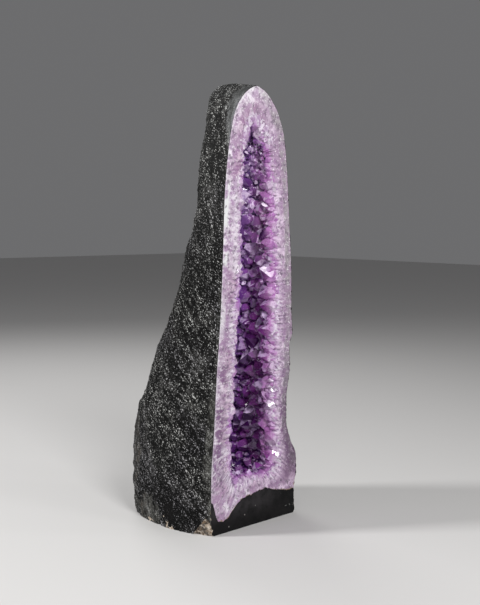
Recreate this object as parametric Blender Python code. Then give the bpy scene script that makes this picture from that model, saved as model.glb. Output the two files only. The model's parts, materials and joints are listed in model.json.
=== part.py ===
"""Amethyst cathedral geode: a tall half nodule, sawn flat in front, standing on its own base.

Two solids: the dark pitted host rock, and the quartz crust that lines it. The crust is pale
and banded where it was sawn, and its inner face is a field of flat-faced crystal points.
Metres, +Z up, the sawn face looks along -Y.
"""
import math
import random

import bmesh
import bpy
import numpy as np
from mathutils import Vector, noise
from mathutils.bvhtree import BVHTree

MM = 0.001

# Heights of the whole stone and of the hollow
TOP = 757.5 * MM
CROWN_RISE = 7.0 * MM
RIDGE_STEP = 1.5 * MM
HOLLOW_BOTTOM = 82.0 * MM
HOLLOW_TOP = 702.0 * MM

# Outlines by height, in millimetres: (height, value)
LEFT_EDGE = [(0, -116), (100, -117), (172, -112), (277, -106), (365, -99), (463, -94.5),
             (568, -91.5), (639, -84.5), (696, -73.5), (722, -63), (739, -50), (751, -35),
             (757.5, -22)]
RIGHT_EDGE = [(0, 101), (44, 96.5), (77, 102), (104, 101.5), (138, 84.5), (172, 73), (215, 72.5),
              (270, 81), (308, 78.5), (332, 86.5), (362, 83.5), (434, 81.5), (523, 74.5),
              (611, 66.5), (674, 57.5), (716, 40.5), (739, 21.5), (751, 7), (757.5, -9)]
SIDE_BULGE = [(0, 16), (60, 20.5), (110, 20), (200, 17), (366, 9), (551, 4.5), (757.5, 2.5)]
RIGHT_EXTRA = [(0, 8), (120, 10), (165, 24), (240, 21), (300, 12), (500, 6), (757.5, 3)]
DEPTH = [(0, 262), (60, 266), (100, 266), (146, 260), (196, 248), (214, 234), (278, 214),
         (340, 188), (410, 160), (479, 133), (551, 104), (600, 96), (683, 96), (735, 104),
         (750, 98), (757.5, 82)]
WIDEST_AT = [(0, 98), (100, 100), (200, 92), (366, 66), (500, 48), (620, 42), (757.5, 34)]
FOOT_CLOSING = [(4, 0.34), (9, 0.64), (20, 0.87), (38, 0.98)]
ROOF_CLOSING = [(3, 0.7), (18, 0.95)]
LEAST_WIDENING = 1.12
HOLLOW_CENTRE = 0.42
HOLLOW_LEFT = [(82, -62), (120, -68), (152, -71), (208, -65), (311, -59), (345, -55), (515, -53),
               (616, -46), (682, -39), (702, -22)]
HOLLOW_RIGHT = [(82, 42), (112, 50), (145, 44), (213, 41), (391, 39), (515, 36), (584, 30),
                (652, 16), (702, -12)]

# The crust's sawn lower border on the front face, (across, up) in millimetres
CRUST_FOOT = [(-150, 62), (-112, 56), (-105, 34), (-99, 22.5), (-89, 21), (-75, 24.5), (-63, 36),
              (-51, 46.5), (-38, 52), (-20, 55), (0, 57), (21, 59.5), (37, 54), (73, 46), (150, 43)]

# Thicknesses
WALL_AT_FACE = 2.5 * MM
WALL_INSIDE = 8.0 * MM
WALL_TAPER = 30.0 * MM
NARROWEST_SHARE = 0.55
RISE_RUN = 60.0 * MM
RIDGE_SHARE = 0.86
FRONT_ARC_STEPS = 40
BACK_ARC_STEPS = 80
CRUST_SIDE = 34.0 * MM
CRUST_BACK = 40.0 * MM
GAP = 0.35 * MM
CUT_REACH = 4.0 * MM

# Cutting blocks, larger than the stone on every side that they leave open
BLOCK_HALF_WIDTH = 150.0 * MM
BLOCK_FRONT = -60.0 * MM
BLOCK_LENGTH = 450.0 * MM
BLOCK_BOTTOM = -50.0 * MM
FRONT_BLOCK_SIZE = (0.4, 0.1, 1.0)
FRONT_BLOCK_PLACE = (0.0, -0.05, 0.45)

# Resolution and relief of the rind
FULL_LEVELS = 37
LOWEST_FULL_LEVEL = 28.0 * MM
HIGHEST_FULL_LEVEL = 702.0 * MM
CROWN_SHARES = (0.24, 0.45, 0.64, 0.79, 0.90, 0.965, 1.0)
BED_FLOOR = 11.0 * MM
RIND_COLUMNS = 34
BED_COLUMNS = 18
BROAD_GRAIN = 9.0
BROAD_LUMP = 3.6 * MM
BROAD_PHASE = Vector((3.1, 0.4, 7.7))
SMALL_GRAIN = 48.0
SMALL_LUMP = 3.2 * MM
SMALL_PHASE = Vector((0.3, 5.2, 1.9))
FACE_FADE = 22.0 * MM
CROWN_FADE = 40.0 * MM

# Flakes knocked off the foot's edge, in millimetres: (middle, half size)
CHIPS = [((-125.5, 2, 6), (20, 30, 26)), ((-142, 78, -2), (12, 22, 16)),
         ((-137, 150, -3), (14, 30, 14)), ((118, 10, -4), (16, 20, 13))]
CHIP_SCATTER = (0.86, 1.1)
CHIP_SEED = 30

# Crystal points
CRYSTAL_PITCH = 26.0 * MM
CRYSTAL_SPREAD = (0.55, 1.6)
CRYSTAL_SCATTER = 0.2
CRYSTAL_STEEPNESS = (0.32, 0.66)
CRYSTAL_VALLEY = 4.0 * MM
END_DROP = 5.0 * MM
FEWEST_ROUND = 6
ROW_STEP = 0.86
SETTLING_ROUNDS = 12
SETTLING_SHARE = 0.6
COARSE_STEPS = 160
FINE_STEPS = 2000
CRYSTAL_ROOM = 0.36
CRYSTAL_LEAN = 0.24
FACE_MARGIN = 7.0 * MM
SEED = 11


def curve_value(table, height):
    """Smooth value of a (height, value) table without overshoot, in metres."""
    xs = [row[0] * MM for row in table]
    ys = [row[1] * MM for row in table]
    height = min(max(height, xs[0]), xs[-1])
    slopes = [(ys[i + 1] - ys[i]) / (xs[i + 1] - xs[i]) for i in range(len(xs) - 1)]
    tangents = [slopes[0]]
    for before, after in zip(slopes, slopes[1:]):
        same_way = before * after > 0
        tangents.append(2 * before * after / (before + after) if same_way else 0.0)
    tangents.append(slopes[-1])
    i = max(k for k in range(len(xs) - 1) if xs[k] <= height)
    span = xs[i + 1] - xs[i]
    t = (height - xs[i]) / span
    return ((2 * t ** 3 - 3 * t ** 2 + 1) * ys[i] + (t ** 3 - 2 * t ** 2 + t) * span * tangents[i]
            + (3 * t ** 2 - 2 * t ** 3) * ys[i + 1] + (t ** 3 - t ** 2) * span * tangents[i + 1])


def even_points(points, count):
    """The polyline sampled again at count + 1 evenly spaced points."""
    points = np.array(points)
    steps = np.linalg.norm(np.diff(points, axis=0), axis=1)
    walked = np.concatenate([[0.0], np.cumsum(steps)])
    targets = np.linspace(0.0, walked[-1], count + 1)
    return np.stack([np.interp(targets, walked, points[:, k]) for k in range(2)], axis=1)


def quarter_arcs(middle, corner, reach, widest, depth):
    """Half of a level's outline: from the front corner out to its widest and round to the back."""
    start = math.acos((corner - middle) / (reach - middle))
    front = widest / math.sin(start)
    outline = []
    for angle in np.linspace(start, 0.0, FRONT_ARC_STEPS):
        outline.append((middle + (reach - middle) * math.cos(angle), widest - front * math.sin(angle)))
    for angle in np.linspace(0.0, math.pi / 2, BACK_ARC_STEPS)[1:]:
        outline.append((middle + (reach - middle) * math.cos(angle),
                        widest + (depth - widest) * math.sin(angle)))
    return outline


def outer_level(height, columns):
    """One level of the stone, from the front left corner round the back to the right corner."""
    left = curve_value(LEFT_EDGE, height)
    right = curve_value(RIGHT_EDGE, height)
    bulge = curve_value(SIDE_BULGE, height)
    extra = curve_value(RIGHT_EXTRA, height)
    middle = (left + right) / 2
    shared = (curve_value(WIDEST_AT, height), curve_value(DEPTH, height))
    left_half = quarter_arcs(middle, left, left - bulge, *shared)
    right_half = quarter_arcs(middle, right, right + bulge + extra, *shared)
    return even_points(left_half + right_half[::-1][1:], columns)


def level_heights():
    """Heights of the levels, closer together at the foot and under the rounded top."""
    middle = np.linspace(LOWEST_FULL_LEVEL, HIGHEST_FULL_LEVEL, FULL_LEVELS)
    crown = HIGHEST_FULL_LEVEL + (TOP - HIGHEST_FULL_LEVEL) * np.array(CROWN_SHARES)
    return [0.0, BED_FLOOR] + list(middle) + list(crown)


def body_levels(heights, columns):
    """The stone's side as a grid of points, one row for each height."""
    rows = []
    for height in heights:
        level = outer_level(height, columns)
        crown = max(0.0, (height - HIGHEST_FULL_LEVEL) / (TOP - HIGHEST_FULL_LEVEL))
        rise = CROWN_RISE * crown * np.minimum(level[:, 1] / RISE_RUN, 1.0)
        rows.append(np.column_stack([level, height + rise]))
    return np.array(rows)


def flat_normals(grid):
    """Outward directions of the side, kept level."""
    along = np.gradient(grid, axis=1)
    normals = np.stack([along[:, :, 1], -along[:, :, 0], np.zeros(grid.shape[:2])], axis=2)
    normals /= np.linalg.norm(normals, axis=2, keepdims=True)
    return normals if normals[0, 0, 0] < 0 else -normals


def inset_levels(grid, extra):
    """The side moved into the stone by the wall, thin at the sawn face and full behind it."""
    normals = flat_normals(grid)
    behind = np.clip(grid[:, :, 1] / WALL_TAPER, 0.0, 1.0)
    wall = WALL_AT_FACE + (WALL_INSIDE - WALL_AT_FACE) * behind
    lean = np.abs(normals[:, :, 0])
    lean[:, (0, -1)] = 1.0 / lean[:, (0, -1)]
    middle = (grid[:, :1, 0] + grid[:, -1:, 0]) / 2
    off = grid[:, :, 0] - middle
    reach = np.maximum(np.abs(off) * NARROWEST_SHARE, np.abs(off) - lean * wall) - lean * extra
    moved = grid.copy()
    moved[:, :, 0] = middle + np.sign(off) * reach
    moved[:, 1:-1, 1] -= (normals[:, :, 1] * (wall + extra))[:, 1:-1]
    crown = np.clip((grid[:, :, 2] - HIGHEST_FULL_LEVEL) / (TOP - HIGHEST_FULL_LEVEL), 0.0, 1.0)
    moved[:, :, 2] -= (WALL_AT_FACE + extra) * crown
    return moved


def add_ridge(grid):
    """One more row that closes the top as a short ridge running front to back."""
    ridge = grid[-1].copy()
    last = len(ridge) - 1
    across = (ridge[0, 0] + ridge[last, 0]) / 2
    for j in range(last // 2 + 1):
        pair = (ridge[j] + ridge[last - j]) / 2
        ridge[j] = ridge[last - j] = (across, RIDGE_SHARE * pair[1], pair[2] + RIDGE_STEP)
    return np.concatenate([grid, ridge[None]])


def add_lumps(grid):
    """Broad swellings and small knocks, faded out at the sawn edge and the crown."""
    normals = flat_normals(grid)
    moved = grid.copy()
    for i, j in np.ndindex(grid.shape[:2]):
        point = Vector(grid[i, j])
        fade = max(0.0, min(1.0, point.y / FACE_FADE, (TOP - point.z) / CROWN_FADE))
        broad = noise.noise(point * BROAD_GRAIN + BROAD_PHASE)
        small = noise.noise(point * SMALL_GRAIN + SMALL_PHASE)
        moved[i, j] += normals[i, j] * fade * (BROAD_LUMP * broad + SMALL_LUMP * small)
    return moved


def extend_front(grid, reach):
    """The grid with its front columns carried straight on, to end in front of the sawn face."""
    longer = grid.copy()
    for end, inner in ((0, 1), (-1, -2)):
        run = grid[:, end] - grid[:, inner]
        longer[:, end] = grid[:, end] + run * (reach / -run[:, 1:2])
    return longer


def solid_from_grid(name, grid, collection):
    """A closed solid of triangles: the side, the flat front, the foot and the ridge."""
    bm = bmesh.new()
    rows = [[bm.verts.new(point) for point in row] for row in grid[:-1]]
    columns = len(rows[0]) - 1
    ridge = []
    for j in range(columns + 1):
        twin = columns - j
        ridge.append(ridge[twin] if twin < j else bm.verts.new(grid[-1, j]))
    rows.append(ridge)
    for i, (lower, upper) in enumerate(zip(rows, rows[1:])):
        for j in range(columns + 1):
            k = (j + 1) % (columns + 1)
            corners = [lower[j], lower[k], upper[k], upper[j]]
            if (i + j) % 2 and upper is not ridge:
                corners = corners[1:] + corners[:1]
            for trio in ((0, 1, 2), (0, 2, 3)):
                used = [corners[n] for n in trio]
                if len(set(used)) == 3:
                    bm.faces.new(used)
    middle = bm.verts.new(sum((vert.co for vert in rows[0]), Vector()) / (columns + 1))
    for j in range(columns + 1):
        bm.faces.new((rows[0][(j + 1) % (columns + 1)], rows[0][j], middle))
    bmesh.ops.recalc_face_normals(bm, faces=bm.faces)
    return object_from_bmesh(name, bm, collection)


def object_from_bmesh(name, bm, collection):
    """An object that holds the mesh and hangs from the stone's empty."""
    mesh = bpy.data.meshes.new(name)
    bm.to_mesh(mesh)
    bm.free()
    obj = bpy.data.objects.new(name, mesh)
    obj.parent = origin
    collection.objects.link(obj)
    return obj


def front_block(name, collection):
    """Everything in front of the sawn face."""
    bm = bmesh.new()
    bmesh.ops.create_cube(bm, size=1.0)
    bmesh.ops.scale(bm, verts=bm.verts, vec=FRONT_BLOCK_SIZE)
    bmesh.ops.translate(bm, verts=bm.verts, vec=FRONT_BLOCK_PLACE)
    return object_from_bmesh(name, bm, collection)


def foot_block(name, rise, collection):
    """Everything under the crust's lower border, as a block running front to back."""
    border = [Vector((x * MM, z * MM)) for x, z in CRUST_FOOT]
    raised = []
    for i, point in enumerate(border):
        before = border[max(i - 1, 0)]
        after = border[min(i + 1, len(border) - 1)]
        run = (after - before).normalized()
        raised.append(point + Vector((-run.y, run.x)) * rise)
    outline = raised + [Vector((BLOCK_HALF_WIDTH, BLOCK_BOTTOM)), Vector((-BLOCK_HALF_WIDTH, BLOCK_BOTTOM))]
    bm = bmesh.new()
    verts = [bm.verts.new((point.x, BLOCK_FRONT, point.y)) for point in outline]
    front = bm.faces.new(verts)
    pulled = bmesh.ops.extrude_face_region(bm, geom=[front])
    moved = [item for item in pulled["geom"] if isinstance(item, bmesh.types.BMVert)]
    bmesh.ops.translate(bm, verts=moved, vec=(0.0, BLOCK_LENGTH, 0.0))
    bmesh.ops.recalc_face_normals(bm, faces=bm.faces)
    return object_from_bmesh(name, bm, collection)


def hollow_heights():
    """Levels of the hollow with the share of its full size each one has, closing at both ends."""
    foot = [(HOLLOW_BOTTOM + rise * MM, share) for rise, share in FOOT_CLOSING]
    roof = [(HOLLOW_TOP - drop * MM, share) for drop, share in reversed(ROOF_CLOSING)]
    room = roof[0][0] - foot[-1][0]
    rows = round(room / (ROW_STEP * CRYSTAL_PITCH))
    middle = [(foot[-1][0] + room * k / rows, 1.0) for k in range(1, rows)]
    return foot + middle + roof


def hollow_level(height, share, rng):
    """One closed level of the hollow, its points unevenly spaced and slightly scattered."""
    left = curve_value(HOLLOW_LEFT, height)
    right = curve_value(HOLLOW_RIGHT, height)
    stone = outer_level(height, COARSE_STEPS)
    half_front = (right - left) / 2 * share
    room = (np.ptp(stone[:, 0]) / 2 - CRUST_SIDE - WALL_INSIDE) * share
    half_wide = max(half_front * LEAST_WIDENING, room)
    depth = stone[:, 1].max() - WALL_INSIDE - CRUST_BACK
    centre = HOLLOW_CENTRE * depth
    front = share * centre / math.sqrt(1.0 - (half_front / half_wide) ** 2)
    ring = []
    for angle in np.linspace(0.0, 2 * math.pi, COARSE_STEPS):
        reach = front if math.cos(angle) > 0 else (depth - centre) * share
        ring.append(((left + right) / 2 + half_wide * math.sin(angle),
                     centre - reach * math.cos(angle)))
    around = np.linalg.norm(np.diff(np.array(ring), axis=0), axis=1).sum()
    count = max(FEWEST_ROUND, round(around / CRYSTAL_PITCH))
    gaps = np.array([rng.uniform(*CRYSTAL_SPREAD) for _ in range(count)])
    places = rng.random() / count + np.concatenate([[0.0], np.cumsum(gaps)[:-1]]) / gaps.sum()
    fine = even_points(ring, FINE_STEPS)
    scatter = CRYSTAL_SCATTER * around / count
    points = []
    for place in places:
        x, y = fine[round(place * FINE_STEPS) % FINE_STEPS]
        shift = [rng.uniform(-scatter, scatter) * share for _ in range(3)]
        points.append(Vector((x + shift[0], y + shift[1], height + shift[2])))
    return points, list(places), half_wide


def zip_levels(bm, lower, upper):
    """Triangles between two closed levels with unlike point counts."""
    (low, low_places), (high, high_places) = lower, upper
    low_places = low_places + [low_places[0] + 1.0]
    high_places = high_places + [high_places[0] + 1.0]
    i = j = 0
    while i < len(low) or j < len(high):
        low_turn = i < len(low) and (j >= len(high) or low_places[i + 1] <= high_places[j + 1])
        a, b = low[i % len(low)], high[j % len(high)]
        if low_turn:
            bm.faces.new((a, low[(i + 1) % len(low)], b))
            i += 1
        else:
            bm.faces.new((a, high[(j + 1) % len(high)], b))
            j += 1


def hollow_skin(rng):
    """The hollow's plain skin of triangles, before its crystals, and the room at each point."""
    bm = bmesh.new()
    levels = []
    room = {}
    for height, share in hollow_heights():
        points, places, half_wide = hollow_level(height, share, rng)
        verts = [bm.verts.new(point) for point in points]
        room.update({vert: half_wide * CRYSTAL_ROOM for vert in verts})
        levels.append((verts, places))
    for lower, upper in zip(levels, levels[1:]):
        zip_levels(bm, lower, upper)
    for ring, drop in ((levels[0][0], -END_DROP), (levels[-1][0], END_DROP)):
        middle = sum((vert.co for vert in ring), Vector()) / len(ring)
        cap = bm.verts.new(middle + Vector((0, 0, drop)))
        room[cap] = END_DROP
        for k in range(len(ring)):
            bm.faces.new((ring[k], ring[(k + 1) % len(ring)], cap))
    bmesh.ops.recalc_face_normals(bm, faces=bm.faces)
    bm.normal_update()
    return bm, room


def crystal_cells(skin, reach, strength):
    """Each point of the skin made a crystal: a cell of flat faces that rise to its tip."""
    bm = bmesh.new()
    tips = {vert: bm.verts.new(vert.co + reach[vert] * strength[vert]) for vert in skin.verts}
    valleys = {}
    for face in skin.faces:
        depth = CRYSTAL_VALLEY * min(strength[vert] for vert in face.verts)
        valleys[face] = bm.verts.new(face.calc_center_median() + face.normal * depth)
    owners = []
    for edge in skin.edges:
        one, other = (valleys[face] for face in edge.link_faces)
        for vert, pair in zip(edge.verts, ((one, other), (other, one))):
            bm.faces.new((tips[vert], *pair))
            owners.append(vert)
    return bm, owners


def crossing_cells(bm, owners):
    """The crystals whose faces run through another crystal's."""
    bm.faces.ensure_lookup_table()
    found = set()
    tree = BVHTree.FromBMesh(bm)
    for one, other in tree.overlap(tree):
        shared = set(bm.faces[one].verts) & set(bm.faces[other].verts)
        if one < other and not shared:
            found.update((owners[one], owners[other]))
    return found


def crystal_hollow(name, collection):
    """The hollow as one solid whose face is the crystal field, lowered where tips would meet."""
    rng = random.Random(SEED)
    skin, room = hollow_skin(rng)
    reach = {}
    for vert in skin.verts:
        width = sum(edge.calc_length() for edge in vert.link_edges) / len(vert.link_edges)
        height = min(width * rng.uniform(*CRYSTAL_STEEPNESS), room[vert])
        if vert.co.y < FACE_MARGIN:
            height = 0.0
        lean = Vector([rng.uniform(-CRYSTAL_LEAN, CRYSTAL_LEAN) * height for _ in range(3)])
        reach[vert] = lean - vert.normal * height
    strength = {vert: 1.0 for vert in skin.verts}
    for _ in range(SETTLING_ROUNDS):
        bm, owners = crystal_cells(skin, reach, strength)
        crossing = crossing_cells(bm, owners)
        if not crossing:
            break
        for vert in crossing:
            strength[vert] *= SETTLING_SHARE
        bm.free()
    bmesh.ops.recalc_face_normals(bm, faces=bm.faces)
    skin.free()
    return object_from_bmesh(name, bm, collection)


def chip_cutter(name, place, size, seed, collection):
    """A knocked-off flake: a coarse ball with scattered corners, from sizes in millimetres."""
    rng = random.Random(seed)
    bm = bmesh.new()
    bmesh.ops.create_icosphere(bm, subdivisions=2, radius=1.0)
    for vert in bm.verts:
        vert.co *= rng.uniform(*CHIP_SCATTER)
        vert.co = MM * (Vector(place) + Vector([vert.co[k] * size[k] for k in range(3)]))
    return object_from_bmesh(name, bm, collection)


def cut(obj, cutter):
    """Takes the cutter's volume out of the object."""
    step = obj.modifiers.new("Cut " + cutter.name, "BOOLEAN")
    step.operation = "DIFFERENCE"
    step.solver = "EXACT"
    step.object = cutter
    cutter.hide_render = True
    cutter.display_type = "WIRE"


def stone_material(name, color, roughness):
    """A plain stone with its colour and how dull it is."""
    material = bpy.data.materials.new(name)
    material.use_nodes = True
    shader = material.node_tree.nodes["Principled BSDF"]
    shader.inputs["Base Color"].default_value = (*color, 1.0)
    shader.inputs["Roughness"].default_value = roughness
    shader.inputs["Metallic"].default_value = 0.0
    return material


for startup in list(bpy.data.objects):
    bpy.data.objects.remove(startup, do_unlink=True)
parts = bpy.data.collections.new("amethyst_geode")
cutters = bpy.data.collections.new("cutters")
for group in (parts, cutters):
    bpy.context.scene.collection.children.link(group)

# Everything is laid out from the middle of the sawn face, then carried by this empty so that
# the middle of the stone's footprint comes to the world's origin
heights = level_heights()
rind = add_ridge(add_lumps(body_levels(heights, RIND_COLUMNS)))
low, high = rind.min(axis=(0, 1)), rind.max(axis=(0, 1))
origin = bpy.data.objects.new("geode_origin", None)
origin.location = (-(low[0] + high[0]) / 2, -(low[1] + high[1]) / 2, 0.0)
parts.objects.link(origin)

# Host rock: the lumpy outside, with a bed cut in it for the crust
shell = solid_from_grid("basalt_shell", rind, parts)
shell.data.materials.append(stone_material("basalt", (0.045, 0.05, 0.047), 0.55))

bed_levels = body_levels(heights[1:], BED_COLUMNS)
bed_grid = add_ridge(inset_levels(bed_levels, 0.0))
bed = solid_from_grid("crust_bed", extend_front(bed_grid, CUT_REACH), cutters)
cut(bed, foot_block("foot_under_bed", 0.0, cutters))
cut(shell, bed)

for number, (place, size) in enumerate(CHIPS):
    cut(shell, chip_cutter("chip_%d" % (number + 1), place, size, CHIP_SEED + number, cutters))

# Quartz crust: fills the bed with a hair's gap, hollowed by the crystal field
crust_grid = add_ridge(inset_levels(bed_levels, GAP))
crust = solid_from_grid("amethyst_crust", extend_front(crust_grid, CUT_REACH), parts)
crust.data.materials.append(stone_material("amethyst", (0.42, 0.25, 0.50), 0.2))
cut(crust, front_block("front_of_crust", cutters))
cut(crust, foot_block("foot_under_crust", GAP, cutters))
cut(crust, crystal_hollow("crystal_hollow", cutters))
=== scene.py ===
# %% [markdown]
# # An amethyst cathedral, sawn open and stood on its own base
# The real object is half of a tall gas bubble from old lava. A dark, pitted rock holds a crust
# of quartz that grew inwards from the bubble's wall: milky columns first, violet points last.
# The lesson rebuilds it in three stones' worth of mesh: the rock, the crust with its flat sawn
# rim, and the crystals that stand in the hollow.

# %% Load the fixed frame
import json
import math
import random

import bmesh
import bpy
import numpy as np
from mathutils import Euler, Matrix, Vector, noise
from mathutils.bvhtree import BVHTree

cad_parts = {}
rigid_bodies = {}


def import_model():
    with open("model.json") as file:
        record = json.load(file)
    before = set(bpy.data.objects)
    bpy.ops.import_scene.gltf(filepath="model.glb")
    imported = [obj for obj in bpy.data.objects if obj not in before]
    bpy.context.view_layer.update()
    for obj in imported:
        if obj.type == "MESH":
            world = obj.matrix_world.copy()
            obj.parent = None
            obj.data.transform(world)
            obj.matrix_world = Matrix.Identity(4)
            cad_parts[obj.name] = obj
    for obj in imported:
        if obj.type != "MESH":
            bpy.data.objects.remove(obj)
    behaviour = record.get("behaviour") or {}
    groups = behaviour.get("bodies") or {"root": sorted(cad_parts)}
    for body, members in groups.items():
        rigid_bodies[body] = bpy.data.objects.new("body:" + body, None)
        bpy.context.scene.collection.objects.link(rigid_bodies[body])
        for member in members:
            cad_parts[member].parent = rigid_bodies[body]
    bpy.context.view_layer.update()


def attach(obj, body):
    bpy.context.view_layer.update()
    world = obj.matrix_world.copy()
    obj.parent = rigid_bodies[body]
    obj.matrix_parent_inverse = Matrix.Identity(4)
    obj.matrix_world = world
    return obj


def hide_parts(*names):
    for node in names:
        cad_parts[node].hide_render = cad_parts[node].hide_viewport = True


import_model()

MM = 0.001
FACE_MIDDLE = Vector((4.219 * MM, -133.844 * MM, 0.0))

# %% [markdown]
# ## The stone's measured outline
# Everything is laid out from the middle of the sawn face: x across, y back into the stone,
# z up. Tables of (height, value) in millimetres hold the edges that were measured. They could
# be traced as curves by hand, but a table with a smooth rule between its rows can be asked for
# any level, coarse or fine, so the rock, the crust and the hollow all agree.

# %% Outline tables
TOP = 757.5 * MM
CROWN_RISE = 7.0 * MM
RIDGE_STEP = 1.5 * MM
FULL_TOP = 702.0 * MM
LEFT_EDGE = [(0, -116), (100, -117), (172, -112), (277, -106), (365, -99), (463, -94.5),
             (568, -91.5), (639, -84.5), (696, -73.5), (722, -63), (739, -50), (751, -35),
             (757.5, -22)]
RIGHT_EDGE = [(0, 101), (44, 96.5), (77, 102), (104, 101.5), (138, 84.5), (172, 73), (215, 72.5),
              (270, 81), (308, 78.5), (332, 86.5), (362, 83.5), (434, 81.5), (523, 74.5),
              (611, 66.5), (674, 57.5), (716, 40.5), (739, 21.5), (751, 7), (757.5, -9)]
SIDE_BULGE = [(0, 16), (60, 20.5), (110, 20), (200, 17), (366, 9), (551, 4.5), (757.5, 2.5)]
RIGHT_EXTRA = [(0, 8), (120, 10), (165, 24), (240, 21), (300, 12), (500, 6), (757.5, 3)]
DEPTH = [(0, 262), (60, 266), (100, 266), (146, 260), (196, 248), (214, 234), (278, 214),
         (340, 188), (410, 160), (479, 133), (551, 104), (600, 96), (683, 96), (735, 104),
         (750, 98), (757.5, 82)]
WIDEST_AT = [(0, 98), (100, 100), (200, 92), (366, 66), (500, 48), (620, 42), (757.5, 34)]
HOLLOW_LEFT = [(82, -62), (120, -68), (152, -71), (208, -65), (311, -59), (345, -55), (515, -53),
               (616, -46), (682, -39), (702, -22)]
HOLLOW_RIGHT = [(82, 42), (112, 50), (145, 44), (213, 41), (391, 39), (515, 36), (584, 30),
                (652, 16), (702, -12)]
CRUST_FOOT = [(-150, 62), (-112, 56), (-105, 34), (-99, 22.5), (-89, 21), (-75, 24.5), (-63, 36),
              (-51, 46.5), (-38, 52), (-20, 55), (0, 57), (21, 59.5), (37, 54), (73, 46), (150, 43)]


def curve_value(table, height):
    """Smooth value of a (height, value) table without overshoot, in metres."""
    xs = [row[0] * MM for row in table]
    ys = [row[1] * MM for row in table]
    height = min(max(height, xs[0]), xs[-1])
    slopes = [(ys[i + 1] - ys[i]) / (xs[i + 1] - xs[i]) for i in range(len(xs) - 1)]
    tangents = [slopes[0]]
    for before, after in zip(slopes, slopes[1:]):
        same_way = before * after > 0
        tangents.append(2 * before * after / (before + after) if same_way else 0.0)
    tangents.append(slopes[-1])
    i = max(k for k in range(len(xs) - 1) if xs[k] <= height)
    span = xs[i + 1] - xs[i]
    t = (height - xs[i]) / span
    return ((2 * t ** 3 - 3 * t ** 2 + 1) * ys[i] + (t ** 3 - 2 * t ** 2 + t) * span * tangents[i]
            + (3 * t ** 2 - 2 * t ** 3) * ys[i + 1] + (t ** 3 - t ** 2) * span * tangents[i + 1])


def smooth(low, high, value):
    """0 below low, 1 above high, and an easy curve between."""
    t = np.clip((np.asarray(value, float) - low) / (high - low), 0.0, 1.0)
    return t * t * (3 - 2 * t)


# %% One level of the stone
def even_points(points, count):
    """The polyline sampled again at count + 1 evenly spaced points."""
    points = np.array(points)
    steps = np.linalg.norm(np.diff(points, axis=0), axis=1)
    walked = np.concatenate([[0.0], np.cumsum(steps)])
    targets = np.linspace(0.0, walked[-1], count + 1)
    return np.stack([np.interp(targets, walked, points[:, k]) for k in range(points.shape[1])], axis=1)


def quarter_arcs(middle, corner, reach, widest, depth):
    """Half of a level's outline: from the front corner out to its widest and round to the back."""
    start = math.acos((corner - middle) / (reach - middle))
    front = widest / math.sin(start)
    first = np.linspace(start, 0.0, 60)
    second = np.linspace(0.0, math.pi / 2, 120)[1:]
    across = middle + (reach - middle) * np.cos(np.concatenate([first, second]))
    back = np.concatenate([widest - front * np.sin(first), widest + (depth - widest) * np.sin(second)])
    return np.stack([across, back], axis=1)


def outer_level(height, columns):
    """One level of the stone, from the front left corner round the back to the right corner."""
    left = curve_value(LEFT_EDGE, height)
    right = curve_value(RIGHT_EDGE, height)
    bulge = curve_value(SIDE_BULGE, height)
    extra = curve_value(RIGHT_EXTRA, height)
    middle = (left + right) / 2
    shared = (curve_value(WIDEST_AT, height), curve_value(DEPTH, height))
    left_half = quarter_arcs(middle, left, left - bulge, *shared)
    right_half = quarter_arcs(middle, right, right + bulge + extra, *shared)
    return even_points(np.concatenate([left_half, right_half[::-1][1:]]), columns)


def body_levels(heights, columns):
    """The stone's side as a grid of points, one row for each height."""
    rows = []
    for height in heights:
        level = outer_level(height, columns)
        crown = max(0.0, (height - FULL_TOP) / (TOP - FULL_TOP))
        rise = CROWN_RISE * crown * np.minimum(level[:, 1] / (60 * MM), 1.0)
        rows.append(np.column_stack([level, height + rise]))
    return np.array(rows)


# %% [markdown]
# ## The rock's surface
# The real rock looks hammered: small hard lumps a few millimetres wide, drawn out along a slant
# that climbs towards the back, with dark valleys between. A displacement texture would do, but
# it fades from the mesh when the model is exported. Here each point of a fine grid is pushed
# along its level direction by cell noise, so the lumps are in the mesh itself.

# %% Fine grid with the lumps
SIDE_COLUMNS = 262
FRONT_COLUMNS = 30
SIDE_ROWS = 268
CROWN_ROWS = 34
noise.seed_set(7)    # noise_vector starts from the clock unless a seed is set


def flat_normals(grid):
    """Outward directions of the side, kept level."""
    along = np.gradient(grid, axis=1)
    normals = np.stack([along[:, :, 1], -along[:, :, 0], np.zeros(grid.shape[:2])], axis=2)
    normals /= np.linalg.norm(normals, axis=2, keepdims=True)
    return normals if normals[0, 0, 0] < 0 else -normals


def strip_width(height):
    """Width of the smoothed strip beside the sawn edge, wide under the crown."""
    wander = noise.noise(Vector((height * 9, 2.3, 0.0))) * 5 * MM
    low = smooth(300 * MM, 200 * MM, height) * smooth(45 * MM, 110 * MM, height)
    return 8 * MM + wander + 9 * MM * low + 20 * MM * smooth(655 * MM, 715 * MM, height)


def hammered(point):
    """Height of the small slanted lumps at a point, from about -1 to 1, and how raised it is."""
    x, y, z = point / MM
    slant = Vector((x / 6.2, (y - z) * 0.707 / 5.6, (y + z) * 0.707 / 9.5))
    slant += 0.35 * noise.noise_vector(slant * 0.6)
    nearest = noise.voronoi(slant)[0]
    lump = 1.0 - 1.9 * min(nearest[0], 0.9)
    valley = min(1.0, (nearest[1] - nearest[0]) * 3.0)
    return lump * 0.75 + (valley - 0.6) * 0.5


def along_path(point, path):
    """Least distance in millimetres from a point to a path of straight runs."""
    best = 1e9
    for a, b in zip(path, path[1:]):
        a, b = Vector(a), Vector(b)
        share = max(0.0, min(1.0, (point - a).dot(b - a) / (b - a).length_squared))
        best = min(best, (point - a - (b - a) * share).length)
    return best


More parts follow.
